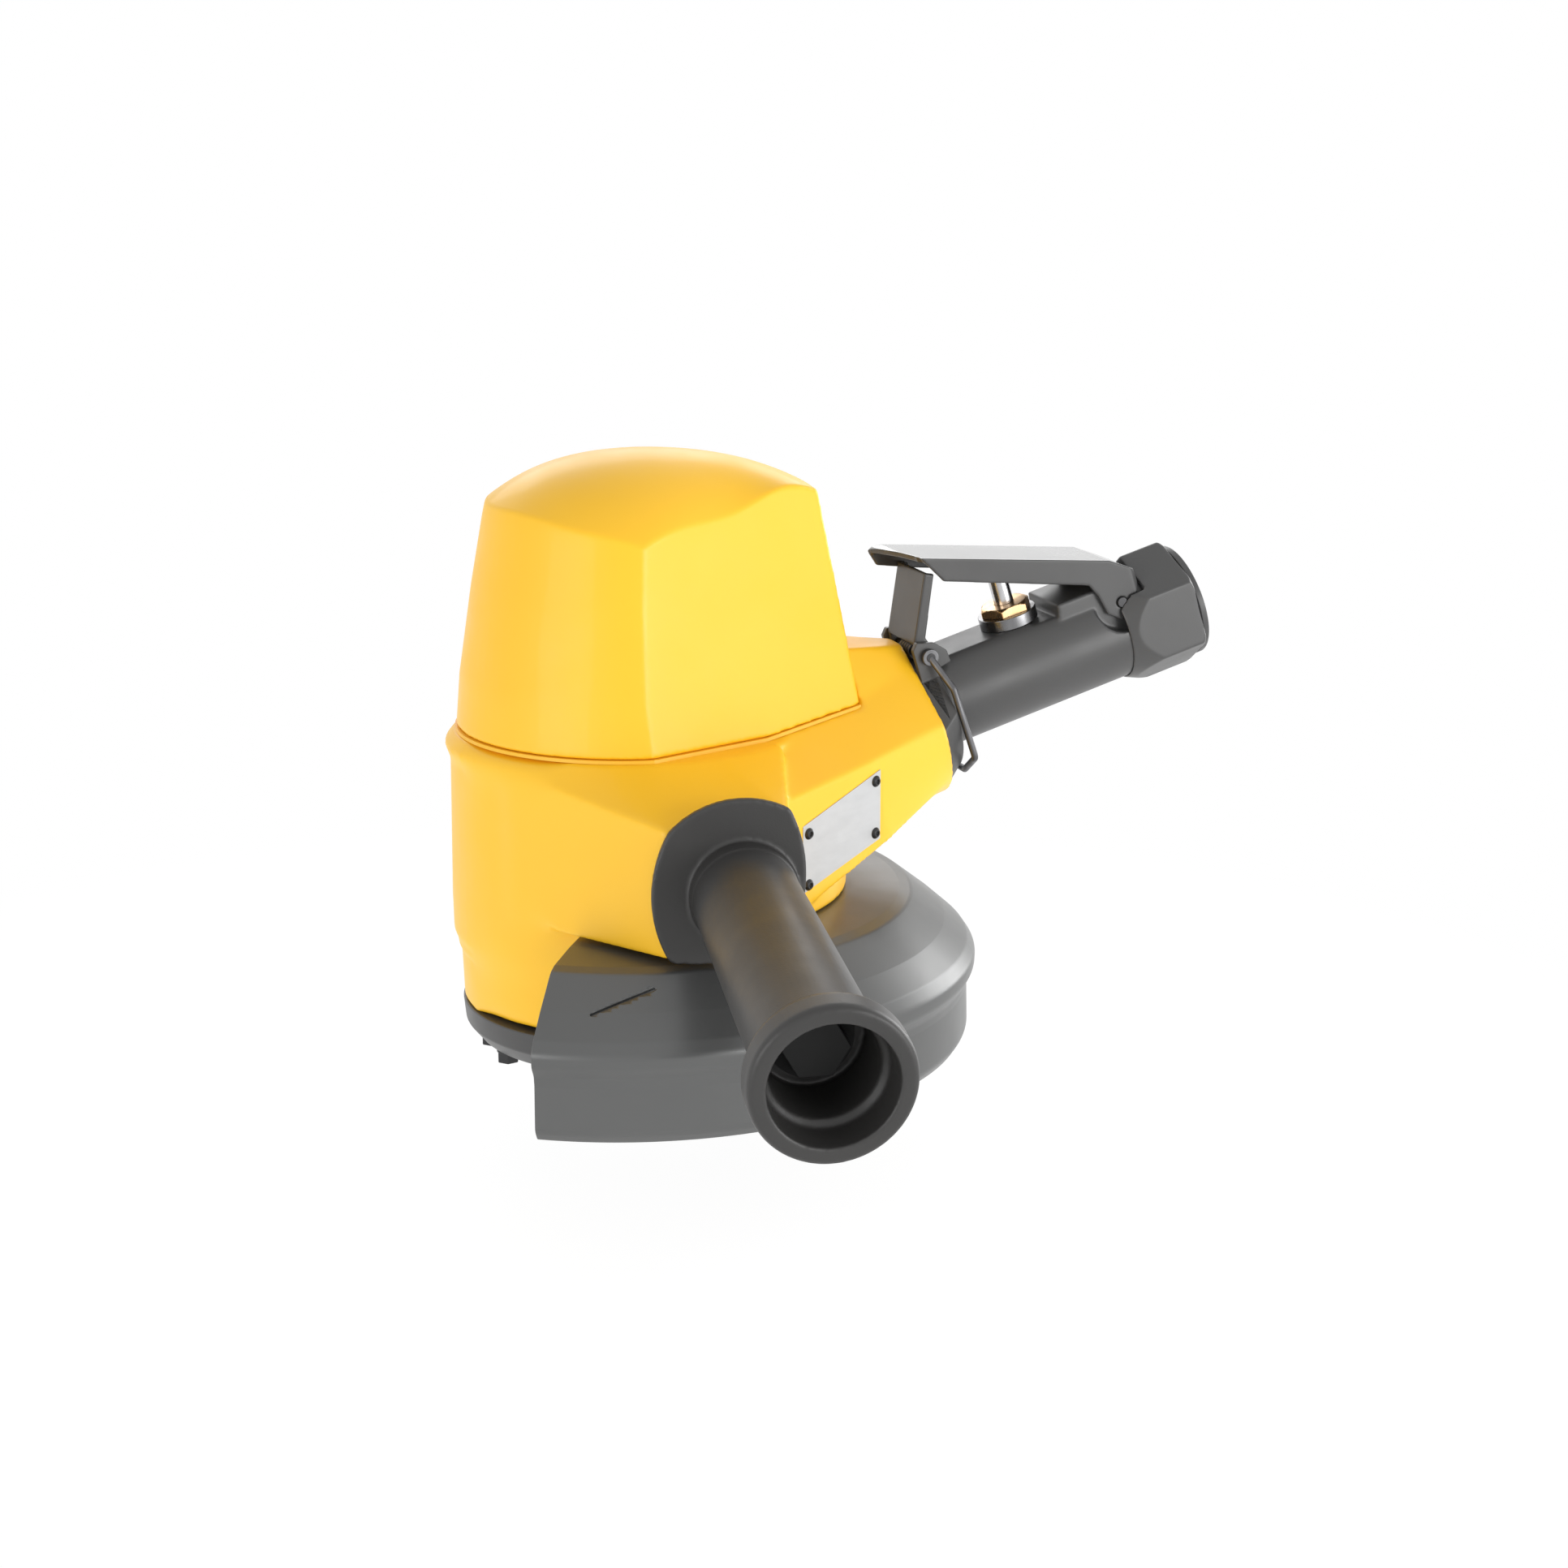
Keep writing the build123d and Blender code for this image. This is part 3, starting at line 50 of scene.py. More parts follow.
# Throttle handle's own frame: along it, across, up
TUBE_RISE = 17.0
THROTTLE_AT = Vector((0.1125, 0.0, 0.1312))
RISE = radians(TUBE_RISE)
THROTTLE_FRAME = Matrix(
    (
        (cos(RISE), 0.0, -sin(RISE), THROTTLE_AT.x),
        (0.0, 1.0, 0.0, THROTTLE_AT.y),
        (sin(RISE), 0.0, cos(RISE), THROTTLE_AT.z),
        (0.0, 0.0, 0.0, 1.0),
    )
)

# Lean of the flat faces of the lever and the latch, in degrees
LEVER_LEAN = 3.92
LATCH_LEAN = 8.145

# Copies of the CAD meshes: joining distance, flat angle, share of each smoothing pass
WELD = 0.000005
SLIVER = 0.000002
FLAT_ANGLE = radians(0.05)
SMOOTH_SHARE = 0.5
JOINED_CREASE = radians(35)

# Wheel guard: radius and height along its outside, sheet, wrap, screw slots, groove across the slope
GUARD_OUTSIDE = [
    (69.2, 71.6),
    (82.0, 71.6),
    (100.0, 70.8),
    (104.5, 69.7),
    (107.0, 67.8),
    (117.0, 60.0),
    (125.5, 52.5),
    (128.6, 48.0),
    (128.4, 43.5),
    (126.0, 39.5),
    (125.5, 36.0),
    (125.9, 19.6),
    (123.5, 16.0),
]
GUARD_BEND = 5.0
BEND_STEPS = 6
BEND_LIMIT = 0.48
GUARD_SHEET = 2.0
GUARD_TURN = (-121.6, 56.5)
GUARD_TURN_STEPS = 160
GUARD_STEP = 1.5
GUARD_RIM = 0.4
RIM_CREASE = 60.0
GUARD_CREASE = radians(40.0)
SLOT_R = 74.0
SLOT_HALF = 3.4
SLOT_PLACES = [-76.0, -28.0, 20.0]
SLOT_SWING = 15.0
SLOT_END = 2.63
SLOT_STEPS = 24
GROOVE = [(117.5, -113.1), (109.4, -102.1)]
GROOVE_SLOPE = ((107.0, 67.8), (125.5, 52.5))
GROOVE_W = 1.0
GROOVE_DEPTH = 0.5

# Sides of round and hexagonal heads
ROUND_SIDES = 40
HEXAGON = 6

# Bolts under the lower cover
BOLT_COUNT = 16
BOLT_CIRCLE = 54.0 * MM
BOLT_PHASE = radians(14.0)
BOLT_SEAT_Z = 16.0 * MM
BOLT_HEAD_R = 4.2 * MM
BOLT_HEAD_T = 5.0 * MM
BOLT_COLLAR_T = 1.2 * MM
BOLT_EASE = 0.35

# Name plate screws: plane of the plate, and each screw along it and up
PLATE_POINT = Vector((46.0, -67.0, 0.0)) * MM
PLATE_TURN = radians(25.8)
PLATE_SCREWS = [(0.5, 84.5), (35.0, 97.0), (35.0, 116.5), (0.5, 103.5)]
PLATE_FACE = 0.1 * MM
SCREW_HEAD_R = 2.2 * MM
SCREW_HEAD_T = 1.0 * MM
SCREW_TOP_SHARE = 0.62
SOCKET_SHARE = 0.42
SOCKET_RISE = 0.9
SCREW_EASE = 0.12

# Spindle nose thread
THREAD_R = 7.0 * MM
THREAD_DEPTH = 0.85 * MM
THREAD_PITCH = 2.0 * MM
THREAD_LOW = -24.6 * MM
THREAD_HIGH = -1.6 * MM
THREAD_SIDES = 4
NOSE_TOP = -0.2 * MM
SPINDLE_EASE = 0.3

# Air inlet bush, with the grain, passes and share of its casting, and its thread
BUSH_GRAIN = 0.5
BUSH_PASSES = 10
BUSH_SHARE = 0.4
INLET_R = 9.5 * MM
INLET_DEPTH = 0.7 * MM
INLET_PITCH = 1.8 * MM
INLET_FROM = 100.0 * MM
INLET_TO = 113.5 * MM

# Latch spring and wire bail, in the throttle handle's frame
LATCH_PIN = Vector((5.6, 0.0, 21.4)) * MM
LATCH_COIL_R = 3.2 * MM
LATCH_COIL_HALF = 5.4 * MM
LATCH_COIL_TURNS = 5.0
COIL_WIRE = 0.6 * MM
COIL_STEPS = 48
COIL_SIDES = 12
BAIL_WIRE = 1.3 * MM
BAIL_SIDES = 16
BAIL_EYE_R = 3.2 * MM
BAIL_EYE = (17.2 * MM, 19.4 * MM)
BAIL_EYE_SIDES = 48
BAIL_EYE_EASE = 0.4
BAIL_LEG = [(5.6, 18.3, 21.4), (8.9, 25.4, 8.7), (9.3, 26.9, -19.3), (9.3, 10.6, -28.3)]
BAIL_BEND = 2.6 * MM
BAIL_BEND_STEPS = 8

# Where the barrel runs into the support boss and the arm: places in plan, width and passes of the blend
BARREL_BLENDS = [(-56.6 * MM, -34.7 * MM), (33.0 * MM, 73.0 * MM)]
BLEND_REACH = 26.0 * MM
BLEND_PASSES = 160

# Photograph's view
CAMERA_AT = Vector((-0.2791, -0.9850, 0.3752))
CAMERA_TURN = radians(19.0)
CAMERA_DOWN = radians(14.58)
CAMERA_LENS = 65.217
CAMERA_SENSOR = 36.0
CAMERA_NEAR = 0.01

# White studio: floor, its own glow, the white that it runs out into, light of the room, softboxes
WHITE = (1, 1, 1, 1)
FLOOR_Z = -0.0268
FLOOR_R = 3.0
FLOOR_SIDES = 96
FLOOR_PATCH = 3.0
FLOOR_TONES = (0.90, 0.89)
FLOOR_ROUGHNESS = 0.8
FLOOR_GLOW = 0.45
FLOOR_WHITE = (0.90, 1.0)
FLOOR_FADE = (0.15, 0.45)
ROOM_LIGHT = 0.62
SOFTBOXES = [
    ("front_box", (0.85, -1.12, 0.22), (0.03, 0, 0.10), (0.9, 0.6), 9.5),
    ("left_box", (-1.2, -0.70, 0.12), (0, 0, 0.08), (0.9, 0.8), 6.0),
    ("back_box", (0.3, 1.2, 0.8), (0.03, 0, 0.12), (1.2, 0.6), 5.0),
    ("right_box", (1.3, 0.35, 0.35), (0.05, 0, 0.08), (0.6, 0.9), 10.0),
]

# Painted surfaces: size of the tone and gloss patches, grain, coat; how far up a face points where the
# painted sheen on top sets in
TONE_PATCH = 9.0
GLOSS_PATCH = 45.0
GRAIN_DETAIL = 2.0
GRAIN_BUMP = 0.35
COAT_ROUGHNESS = 0.12
TOP_FACING = (0.75, 0.95)
TOP_COAT_IOR = 2.0

# Machined surfaces: tool marks
MARK_SCALE = 220.0
MARK_DETAIL = 4.0
MARK_BUMP = 0.12
MARK_DEPTH = 0.00008


# Finishes


def shader(name):
    """New material with its Principled shader and Object coordinates."""
    material = bpy.data.materials.new(name)
    material.use_nodes = True
    principled = material.node_tree.nodes["Principled BSDF"]
    place = material.node_tree.nodes.new("ShaderNodeTexCoord").outputs["Object"]
    return material, principled, place


def noise(material, place, scale, detail=3.0, stretch=None, turn=(0, 0, 0)):
    """Noise factor on Object coordinates; stretch squeezes it along the axes."""
    nodes, links = material.node_tree.nodes, material.node_tree.links
    texture = nodes.new("ShaderNodeTexNoise")
    texture.inputs["Scale"].default_value = scale
    texture.inputs["Detail"].default_value = detail
    if stretch:
        mapping = nodes.new("ShaderNodeMapping")
        mapping.inputs["Scale"].default_value = stretch
        mapping.inputs["Rotation"].default_value = turn
        links.new(place, mapping.inputs["Vector"])
        place = mapping.outputs["Vector"]
    links.new(place, texture.inputs["Vector"])
    return texture.outputs["Fac"]


def spread(material, factor, low, high, start=0.3, end=0.7):
    """The factor's middle range brought to low and high."""
    node = material.node_tree.nodes.new("ShaderNodeMapRange")
    node.inputs["From Min"].default_value = start
    node.inputs["From Max"].default_value = end
    node.inputs["To Min"].default_value = low
    node.inputs["To Max"].default_value = high
    material.node_tree.links.new(factor, node.inputs["Value"])
    return node.outputs["Result"]


def grey(tone):
    return (tone, tone, tone)


def two_tone(material, factor, first, second):
    mix = material.node_tree.nodes.new("ShaderNodeMix")
    mix.data_type = "RGBA"
    mix.inputs["A"].default_value = (*first, 1)
    mix.inputs["B"].default_value = (*second, 1)
    material.node_tree.links.new(factor, mix.inputs["Factor"])
    return mix.outputs["Result"]


def bump(material, factor, strength, distance):
    node = material.node_tree.nodes.new("ShaderNodeBump")
    node.inputs["Strength"].default_value = strength
    node.inputs["Distance"].default_value = distance
    material.node_tree.links.new(factor, node.inputs["Height"])
    return node.outputs["Normal"]


def coat_finish(name, light, deep, rough, grain, depth, coat=0.0, metallic=0.0, shine=0.5):
    """Painted or moulded surface: two close tones in soft patches, fine grain, uneven gloss."""
    material, principled, place = shader(name)
    links = material.node_tree.links
    tone = spread(material, noise(material, place, TONE_PATCH), 0, 1)
    links.new(two_tone(material, tone, light, deep), principled.inputs["Base Color"])
    gloss = spread(material, noise(material, place, GLOSS_PATCH), *rough)
    links.new(gloss, principled.inputs["Roughness"])
    height = noise(material, place, grain, GRAIN_DETAIL)
    links.new(bump(material, height, GRAIN_BUMP, depth), principled.inputs["Normal"])
    principled.inputs["Coat Weight"].default_value = coat
    principled.inputs["Coat Roughness"].default_value = COAT_ROUGHNESS
    principled.inputs["Metallic"].default_value = metallic
    principled.inputs["Specular IOR Level"].default_value = shine
    return material


def painted_top_sheen(material):
    """Painted sheen: a glossy coat only where the surface faces up, so that the top shows bright."""
    nodes = material.node_tree.nodes
    links = material.node_tree.links
    facing = nodes.new("ShaderNodeNewGeometry")
    parts = nodes.new("ShaderNodeSeparateXYZ")
    links.new(facing.outputs["Normal"], parts.inputs["Vector"])
    share = spread(material, parts.outputs["Z"], 0, 1, *TOP_FACING)
    links.new(share, nodes["Principled BSDF"].inputs["Coat Weight"])
    nodes["Principled BSDF"].inputs["Coat IOR"].default_value = TOP_COAT_IOR


def metal_finish(name, light, deep, rough, stretch, turn=(0, 0, 0), metallic=1.0):
    """Machined metal with fine tool marks along one direction."""
    material, principled, place = shader(name)
    links = material.node_tree.links
    marks = noise(material, place, MARK_SCALE, MARK_DETAIL, stretch, turn)
    tone = spread(material, marks, 0, 1)
    links.new(two_tone(material, tone, light, deep), principled.inputs["Base Color"])
    links.new(spread(material, marks, *rough), principled.inputs["Roughness"])
    links.new(bump(material, marks, MARK_BUMP, MARK_DEPTH), principled.inputs["Normal"])
    principled.inputs["Metallic"].default_value = metallic
    return material


ENAMEL = coat_finish(
    "yellow_enamel",
    (0.98, 0.555, 0.014),
    (0.96, 0.53, 0.012),
    rough=(0.40, 0.50),
    grain=700.0,
    depth=0.00003,
    coat=0.12,
)
LIP = coat_finish(
    "cover_lip",
    (0.90, 0.50, 0.02),
    (0.86, 0.46, 0.018),
    rough=(0.40, 0.55),
    grain=900.0,
    depth=0.00003,
)
GUARD_COAT = coat_finish(
    "guard_coat",
    (0.125, 0.127, 0.126),
    (0.110, 0.112, 0.111),
    rough=(0.30, 0.38),
    grain=1500.0,
    depth=0.00003,
    metallic=0.5,
)
CHARCOAL = coat_finish(
    "charcoal_coat",
    grey(0.064),
    grey(0.054),
    rough=(0.34, 0.44),
    grain=1600.0,
    depth=0.00004,
)
GRIP_RUBBER = coat_finish(
    "grip_rubber",
    (0.034, 0.033, 0.032),
    (0.028, 0.027, 0.026),
    rough=(0.38, 0.48),
    grain=1800.0,
    depth=0.00006,
)
LEVER_COAT = coat_finish(
    "lever_coat",
    grey(0.048),
    grey(0.040),
    rough=(0.32, 0.42),
    grain=1600.0,
    depth=0.00002,
)
# Painted sheen on the up-facing faces of the lever and the latch
painted_top_sheen(LEVER_COAT)
DARK_SCREW = coat_finish(
    "blackened_screw",
    (0.05, 0.05, 0.052),
    (0.035, 0.035, 0.036),
    rough=(0.25, 0.38),
    grain=2200.0,
    depth=0.00003,
    metallic=0.7,
)
DEEP_BLACK = coat_finish(
    "deep_black",
    grey(0.030),
    grey(0.024),
    rough=(0.6, 0.75),
    grain=1800.0,
    depth=0.00005,
    shine=0.2,
)
SEAL_RUBBER = coat_finish(
    "seal_rubber",
    grey(0.02),
    grey(0.014),
    rough=(0.5, 0.65),
    grain=1500.0,
    depth=0.00005,
)
STEEL = metal_finish(
    "bright_steel", (0.62, 0.62, 0.63), (0.48, 0.48, 0.49), rough=(0.18, 0.34), stretch=(1, 1, 0.05)
)
WIRE_STEEL = metal_finish(
    "drawn_wire", (0.17, 0.17, 0.175), (0.12, 0.12, 0.125), rough=(0.38, 0.50), stretch=(1, 1, 0.2)
)
GREY_STEEL = metal_finish(
    "washer_steel", (0.24, 0.24, 0.245), (0.17, 0.17, 0.175), rough=(0.20, 0.34), stretch=(1, 1, 0.2)
)
BRASS = metal_finish(
    "cap_brass", (0.78, 0.52, 0.28), (0.68, 0.43, 0.20), rough=(0.24, 0.36), stretch=(1, 1, 0.08)
)
ALLOY = metal_finish(
    "inner_alloy", (0.66, 0.66, 0.67), (0.55, 0.55, 0.56), rough=(0.3, 0.45), stretch=(0.2, 1, 1)
)
PLATE_SILVER = metal_finish(
    "plate_silver",
    (0.55, 0.555, 0.56),
    (0.50, 0.505, 0.51),
    rough=(0.38, 0.48),
    stretch=(0.04, 1, 1),
    turn=(0, 0, PLATE_TURN),
    metallic=0.3,
)

NODE_FINISH = {
    "main_housing": ENAMEL,
    "upper_cover": ENAMEL,
    "cover_seal": LIP,
    "wheel_guard": GUARD_COAT,
    "lower_cover": CHARCOAL,
    "throttle_handle": CHARCOAL,
    "handle_collar": CHARCOAL,
    "inlet_bushing": CHARCOAL,
    "inlet_ring": CHARCOAL,
    "valve_washer": GREY_STEEL,
    "support_grip": GRIP_RUBBER,
    "support_bolt": DEEP_BLACK,
    "support_washer": DEEP_BLACK,
    "support_core": DEEP_BLACK,
    "lever": LEVER_COAT,
    "safety_latch": LEVER_COAT,
    "latch_pin": DARK_SCREW,
    "lever_pin": DARK_SCREW,
    "name_plate": PLATE_SILVER,
    "plate_screws": DARK_SCREW,
    "cover_bolts": DARK_SCREW,
    "guard_screws": DARK_SCREW,
    "valve_cap": BRASS,
    "valve_seat": BRASS,
    "spindle_seal": SEAL_RUBBER,
    "turbine_wheel": ALLOY,
    "nozzle_plate": ALLOY,
    "bearing_plate": ALLOY,
    "wire_bail": WIRE_STEEL,
    "latch_spring": WIRE_STEEL,
}

for node, cad in frame["nodes"].items():
    cad.data.materials.clear()
    cad.data.materials.append(NODE_FINISH.get(node, STEEL))


# Pieces made from the CAD forms


def placed(name, mesh):
    piece = bpy.data.objects.new(name, mesh)
    bpy.context.scene.collection.objects.link(piece)
    return piece


def baked(piece):
    """The piece with its modifiers applied as one plain mesh."""
    bpy.context.view_layer.update()
    graph = bpy.context.evaluated_depsgraph_get()
    mesh = bpy.data.meshes.new_from_object(piece.evaluated_get(graph), depsgraph=graph)
    piece.modifiers.clear()
    piece.data = mesh
    return piece


def stand_for(piece, *nodes):
    """Give a piece its finish, let it ride on its nodes' body and show it in place of them."""
    piece.data.materials.clear()
    piece.data.materials.append(NODE_FINISH.get(nodes[0], STEEL))
    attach(piece, BODY_OF[nodes[0]])
    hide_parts(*nodes)
    return piece


def merged_form(node):
    """Copy of a CAD node as one joined surface."""
    form = bmesh.new()
    form.from_mesh(frame["nodes"][node].data)
    bmesh.ops.remove_doubles(form, verts=form.verts, dist=WELD)
    bmesh.ops.dissolve_degenerate(form, dist=SLIVER, edges=form.edges)
    return form


def as_piece(name, form):
    mesh = bpy.data.meshes.new(name)
    form.to_mesh(mesh)
    form.free()
    mesh.shade_smooth()
    return placed(name, mesh)


def ease_edges(piece, width, crease=30.0, steps=2):
    """Round the edges sharper than the crease by a small width in millimetres."""
    bevel = piece.modifiers.new("edges", "BEVEL")
    bevel.width = width * MM
    bevel.segments = steps
    bevel.limit_method = "ANGLE"
    bevel.angle_limit = radians(crease)
    bevel.use_clamp_overlap = False
    piece.modifiers.new("normals", "WEIGHTED_NORMAL")
    return baked(piece)


def eased(name, node, width, crease, steps):
    """Copy of a CAD node with its edges rounded."""
    form = merged_form(node)
    bmesh.ops.dissolve_limit(form, angle_limit=FLAT_ANGLE, verts=form.verts, edges=form.edges)
    return stand_for(ease_edges(as_piece(name, form), width, crease, steps), node)


def softened(name, node, grain, passes, share, blends=(), lean=0.0):
    """Copy of a CAD node with softly rounded edges.

    Its grain, in millimetres, is laid along faces that lean by some degrees.
    """
    tilt = Matrix.Rotation(radians(lean), 4, "Y")
    piece = as_piece(name, merged_form(node))
    piece.data.transform(tilt.inverted())
    skin = piece.modifiers.new("skin", "REMESH")
    skin.mode = "VOXEL"
    skin.voxel_size = grain * MM
    skin.use_smooth_shade = True
    baked(piece)
    if blends:
        near = piece.vertex_groups.new(name="blend")
        for vert in piece.data.vertices:
            off = min((vert.co.xy - Vector(place)).length for place in blends)
            if off < BLEND_REACH:
                near.add([vert.index], min(1.0, 2 - 2 * off / BLEND_REACH), "REPLACE")
        soften(piece, BLEND_PASSES, "blend")
    soften(piece, passes)
    thin = piece.modifiers.new("thin", "DECIMATE")
    thin.ratio = share
    baked(piece).data.transform(tilt)
    return piece


def soften(piece, passes, group=""):
    soft = piece.modifiers.new("soft", "SMOOTH")
    soft.factor = SMOOTH_SHARE
    soft.iterations = passes
    soft.vertex_group = group


def rounded_path(points, radius):
    """Path in (radius, height) with its corners rounded."""
    points = [Vector(point) for point in points]
    path = [points[0]]
    for before, corner, after in zip(points, points[1:], points[2:]):
        back, on = before - corner, after - corner
        reach = min(radius / tan(back.angle(on) / 2), BEND_LIMIT * min(back.length, on.length))
        start = corner + back.normalized() * reach
        end = corner + on.normalized() * reach
        for i in range(BEND_STEPS + 1):
            share = i / BEND_STEPS
            path.append(start.lerp(corner, share).lerp(corner.lerp(end, share), share))
    return path + [points[-1]]


def stepped(path, reach):
    """Path with points added on its long runs."""
    filled = [path[0]]
    for start, end in zip(path, path[1:]):
        parts = max(1, round((end - start).length / reach))
        filled += [start.lerp(end, (i + 1) / parts) for i in range(parts)]
    return filled


def inside_of(path, sheet):
    """Path moved to its right by the thickness of the sheet."""
    moved = []
    for i, point in enumerate(path):
        run = path[min(i + 1, len(path) - 1)] - path[max(i - 1, 0)]
        moved.append(point + Vector((run.y, -run.x)).normalized() * sheet)
    return moved


def turned(name, loop, start, end, steps):
    """Closed (radius, height) loop in millimetres, swept round the spindle from turn to turn in degrees."""
    form = bmesh.new()
    first = [form.verts.new((r * MM, 0, z * MM)) for r, z in loop]
    edges = [form.edges.new((a, b)) for a, b in zip(first, first[1:] + first[:1])]
    bmesh.ops.rotate(form, verts=first, cent=(0, 0, 0), matrix=Matrix.Rotation(radians(start), 3, "Z"))
    swept = bmesh.ops.spin(
        form, geom=first + edges, cent=(0, 0, 0), axis=(0, 0, 1), angle=radians(end - start), steps=steps
    )
    last = [item for item in swept["geom_last"] if isinstance(item, bmesh.types.BMEdge)]
    for rim in (edges, last):
        bmesh.ops.contextual_create(form, geom=rim)
    bmesh.ops.recalc_face_normals(form, faces=form.faces)
    return as_piece(name, form)


def cut(piece, cutter):
    """Take the cutter's form out of the piece."""
    away = piece.modifiers.new("cut", "BOOLEAN")
    away.object = cutter
    away.solver = "EXACT"
    baked(piece)
    bpy.data.objects.remove(cutter)


def groove_cutter():
    """Thin block lying across the guard's slope."""
    (r_high, z_high), (r_low, z_low) = GROOVE_SLOPE
    ends = []
    for r, turn in GROOVE:
        z = z_high + (z_low - z_high) * (r - r_high) / (r_low - r_high)
        ends.append(Vector((r * cos(radians(turn)), r * sin(radians(turn)), z)) * MM)
    turn = radians((GROOVE[0][1] + GROOVE[1][1]) / 2)
    fall = Vector(((r_low - r_high) * cos(turn), (r_low - r_high) * sin(turn), z_low - z_high))
    along = (ends[1] - ends[0]).normalized()
    out = fall.cross(Vector((-sin(turn), cos(turn), 0)))
    out = (out - along * out.dot(along)).normalized()
    lie = Matrix((along, out.cross(along), out)).transposed().to_4x4()
    lie.translation = (ends[0] + ends[1]) / 2 + out * (2 * GUARD_SHEET - GROOVE_DEPTH) * MM
    size = ((ends[1] - ends[0]).length, GROOVE_W * MM, 4 * GUARD_SHEET * MM)
    form = bmesh.new()
    bmesh.ops.create_cube(form, size=1.0, matrix=lie @ Matrix.Diagonal((*size, 1)))
    return as_piece("groove_cutter", form)


def slot_cutter(middle):
    """Block along the arc of a screw slot, long enough for the guard's swing."""
    low = GUARD_OUTSIDE[0][1] - 2 * GUARD_SHEET
    high = GUARD_OUTSIDE[0][1] + GUARD_SHEET
    near = SLOT_R - SLOT_HALF
    far = SLOT_R + SLOT_HALF
    loop = [(near, low), (far, low), (far, high), (near, high)]
    start = middle - SLOT_SWING - SLOT_END
    end = middle + SLOT_SWING + SLOT_END
    return turned("slot_cutter", loop, start, end, SLOT_STEPS)


def guard_sheet():
    """Guard as a bent sheet swept round the spindle."""
    outside = stepped(rounded_path(GUARD_OUTSIDE, GUARD_BEND), GUARD_STEP)
    loop = outside + list(reversed(inside_of(outside, GUARD_SHEET)))
    piece = turned("guard_sheet", loop, *GUARD_TURN, GUARD_TURN_STEPS)
    ease_edges(piece, GUARD_RIM, RIM_CREASE)
    cut(piece, groove_cutter())
    for middle in SLOT_PLACES:
        cut(piece, slot_cutter(middle))
    piece.data.set_sharp_from_angle(angle=GUARD_CREASE)
    normals = piece.modifiers.new("normals", "WEIGHTED_NORMAL")
    normals.keep_sharp = True
    stand_for(baked(piece), "wheel_guard")


# Piece, node, grain in millimetres, smoothing passes, share of faces kept, blends, lean in degrees
SOFTENED = [
    ("upper_cover_casting", "upper_cover", 0.9, 6, 0.45, (), 0.0),
    ("housing_casting", "main_housing", 1.1, 5, 0.5, BARREL_BLENDS, 0.0),
    ("grip_sleeve", "support_grip", 0.6, 6, 0.4, (), 0.0),
    ("throttle_tube", "throttle_handle", 0.6, 3, 0.4, (), -TUBE_RISE),
    ("lever_pressing", "lever", 0.4, 4, 0.35, (), LEVER_LEAN),
    ("latch_pressing", "safety_latch", 0.4, 3, 0.4, (), LATCH_LEAN),
]
for name, node, grain, passes, share, blends, lean in SOFTENED:
    stand_for(softened(name, node, grain, passes, share, blends, lean), node)
guard_sheet()

# Piece, node, width of the rounded edges in millimetres, crease in degrees, steps
EASED = [
    ("lower_cover_ring", "lower_cover", 0.6, 25.0, 3),
    ("collar_casting", "handle_collar", 0.4, 26.0, 2),
    ("inlet_end_ring", "inlet_ring", 0.4, 30.0, 2),
    ("plate_sheet", "name_plate", 0.2, 40.0, 2),
    ("valve_cap_nut", "valve_cap", 0.3, 26.0, 2),
    ("valve_cap_washer", "valve_washer", 0.3, 40.0, 2),
    ("guard_screw_heads", "guard_screws", 0.3, 40.0, 2),
    ("support_bolt_head", "support_bolt", 0.5, 26.0, 2),
    ("wheel_seat_flange", "wheel_flange", 0.4, 30.0, 2),
    ("latch_pivot", "latch_pin", 0.3, 40.0, 2),
    ("lever_pivot", "lever_pin", 0.3, 40.0, 2),
]
for name, node, width, crease, steps in EASED:
    eased(name, node, width, crease, steps)


# Pieces grown by node trees


class Tree:
    """Geometry node tree with named inputs."""

    def __init__(self, name, *inputs):
        self.group = bpy.data.node_groups.new(name, "GeometryNodeTree")
        self.group.interface.new_socket("Geometry", in_out="INPUT", socket_type="NodeSocketGeometry")
        for label, kind in inputs:
            self.group.interface.new_socket(label, in_out="INPUT", socket_type="NodeSocket" + kind)
        self.group.interface.new_socket("Geometry", in_out="OUTPUT", socket_type="NodeSocketGeometry")
        self.given = self.group.nodes.new("NodeGroupInput").outputs

    def add(self, kind, inputs=None, **settings):
        """New node; each input is a value or another node's output."""
        node = self.group.nodes.new(kind)
        for key, value in settings.items():
            setattr(node, key, value)
        for key, value in (inputs or {}).items():
            if isinstance(value, bpy.types.NodeSocket):
                self.group.links.new(value, node.inputs[key])
            else:
                node.inputs[key].default_value = value
        return node.outputs[0]

    def join(self, *parts):
        node = self.group.nodes.new("GeometryNodeJoinGeometry")
        for part in parts:
            self.group.links.new(part, node.inputs[0])
        return node.outputs[0]

    def end(self, geometry):
        smooth = self.add("GeometryNodeSetShadeSmooth", {"Geometry": geometry})
        real = self.add("GeometryNodeRealizeInstances", {"Geometry": smooth})
        finished = self.add("GeometryNodeSetMaterial", {"Geometry": real, "Material": self.given["Finish"]})
        out = self.group.nodes.new("NodeGroupOutput")
        self.group.links.new(finished, out.inputs[0])

    def grow(self, name, mesh, finish, **values):
        piece = placed(name, mesh)
        grown = piece.modifiers.new("grown", "NODES")
        grown.node_group = self.group
        values["Finish"] = finish
        for item in self.group.interface.items_tree:
            if item.in_out == "INPUT" and item.name in values:
                grown[item.identifier] = values[item.name]
        return baked(piece)


def moved(tree, geometry, at=(0, 0, 0), turn=(0, 0, 0)):
    return tree.add("GeometryNodeTransform", {"Geometry": geometry, "Translation": at, "Rotation": turn})


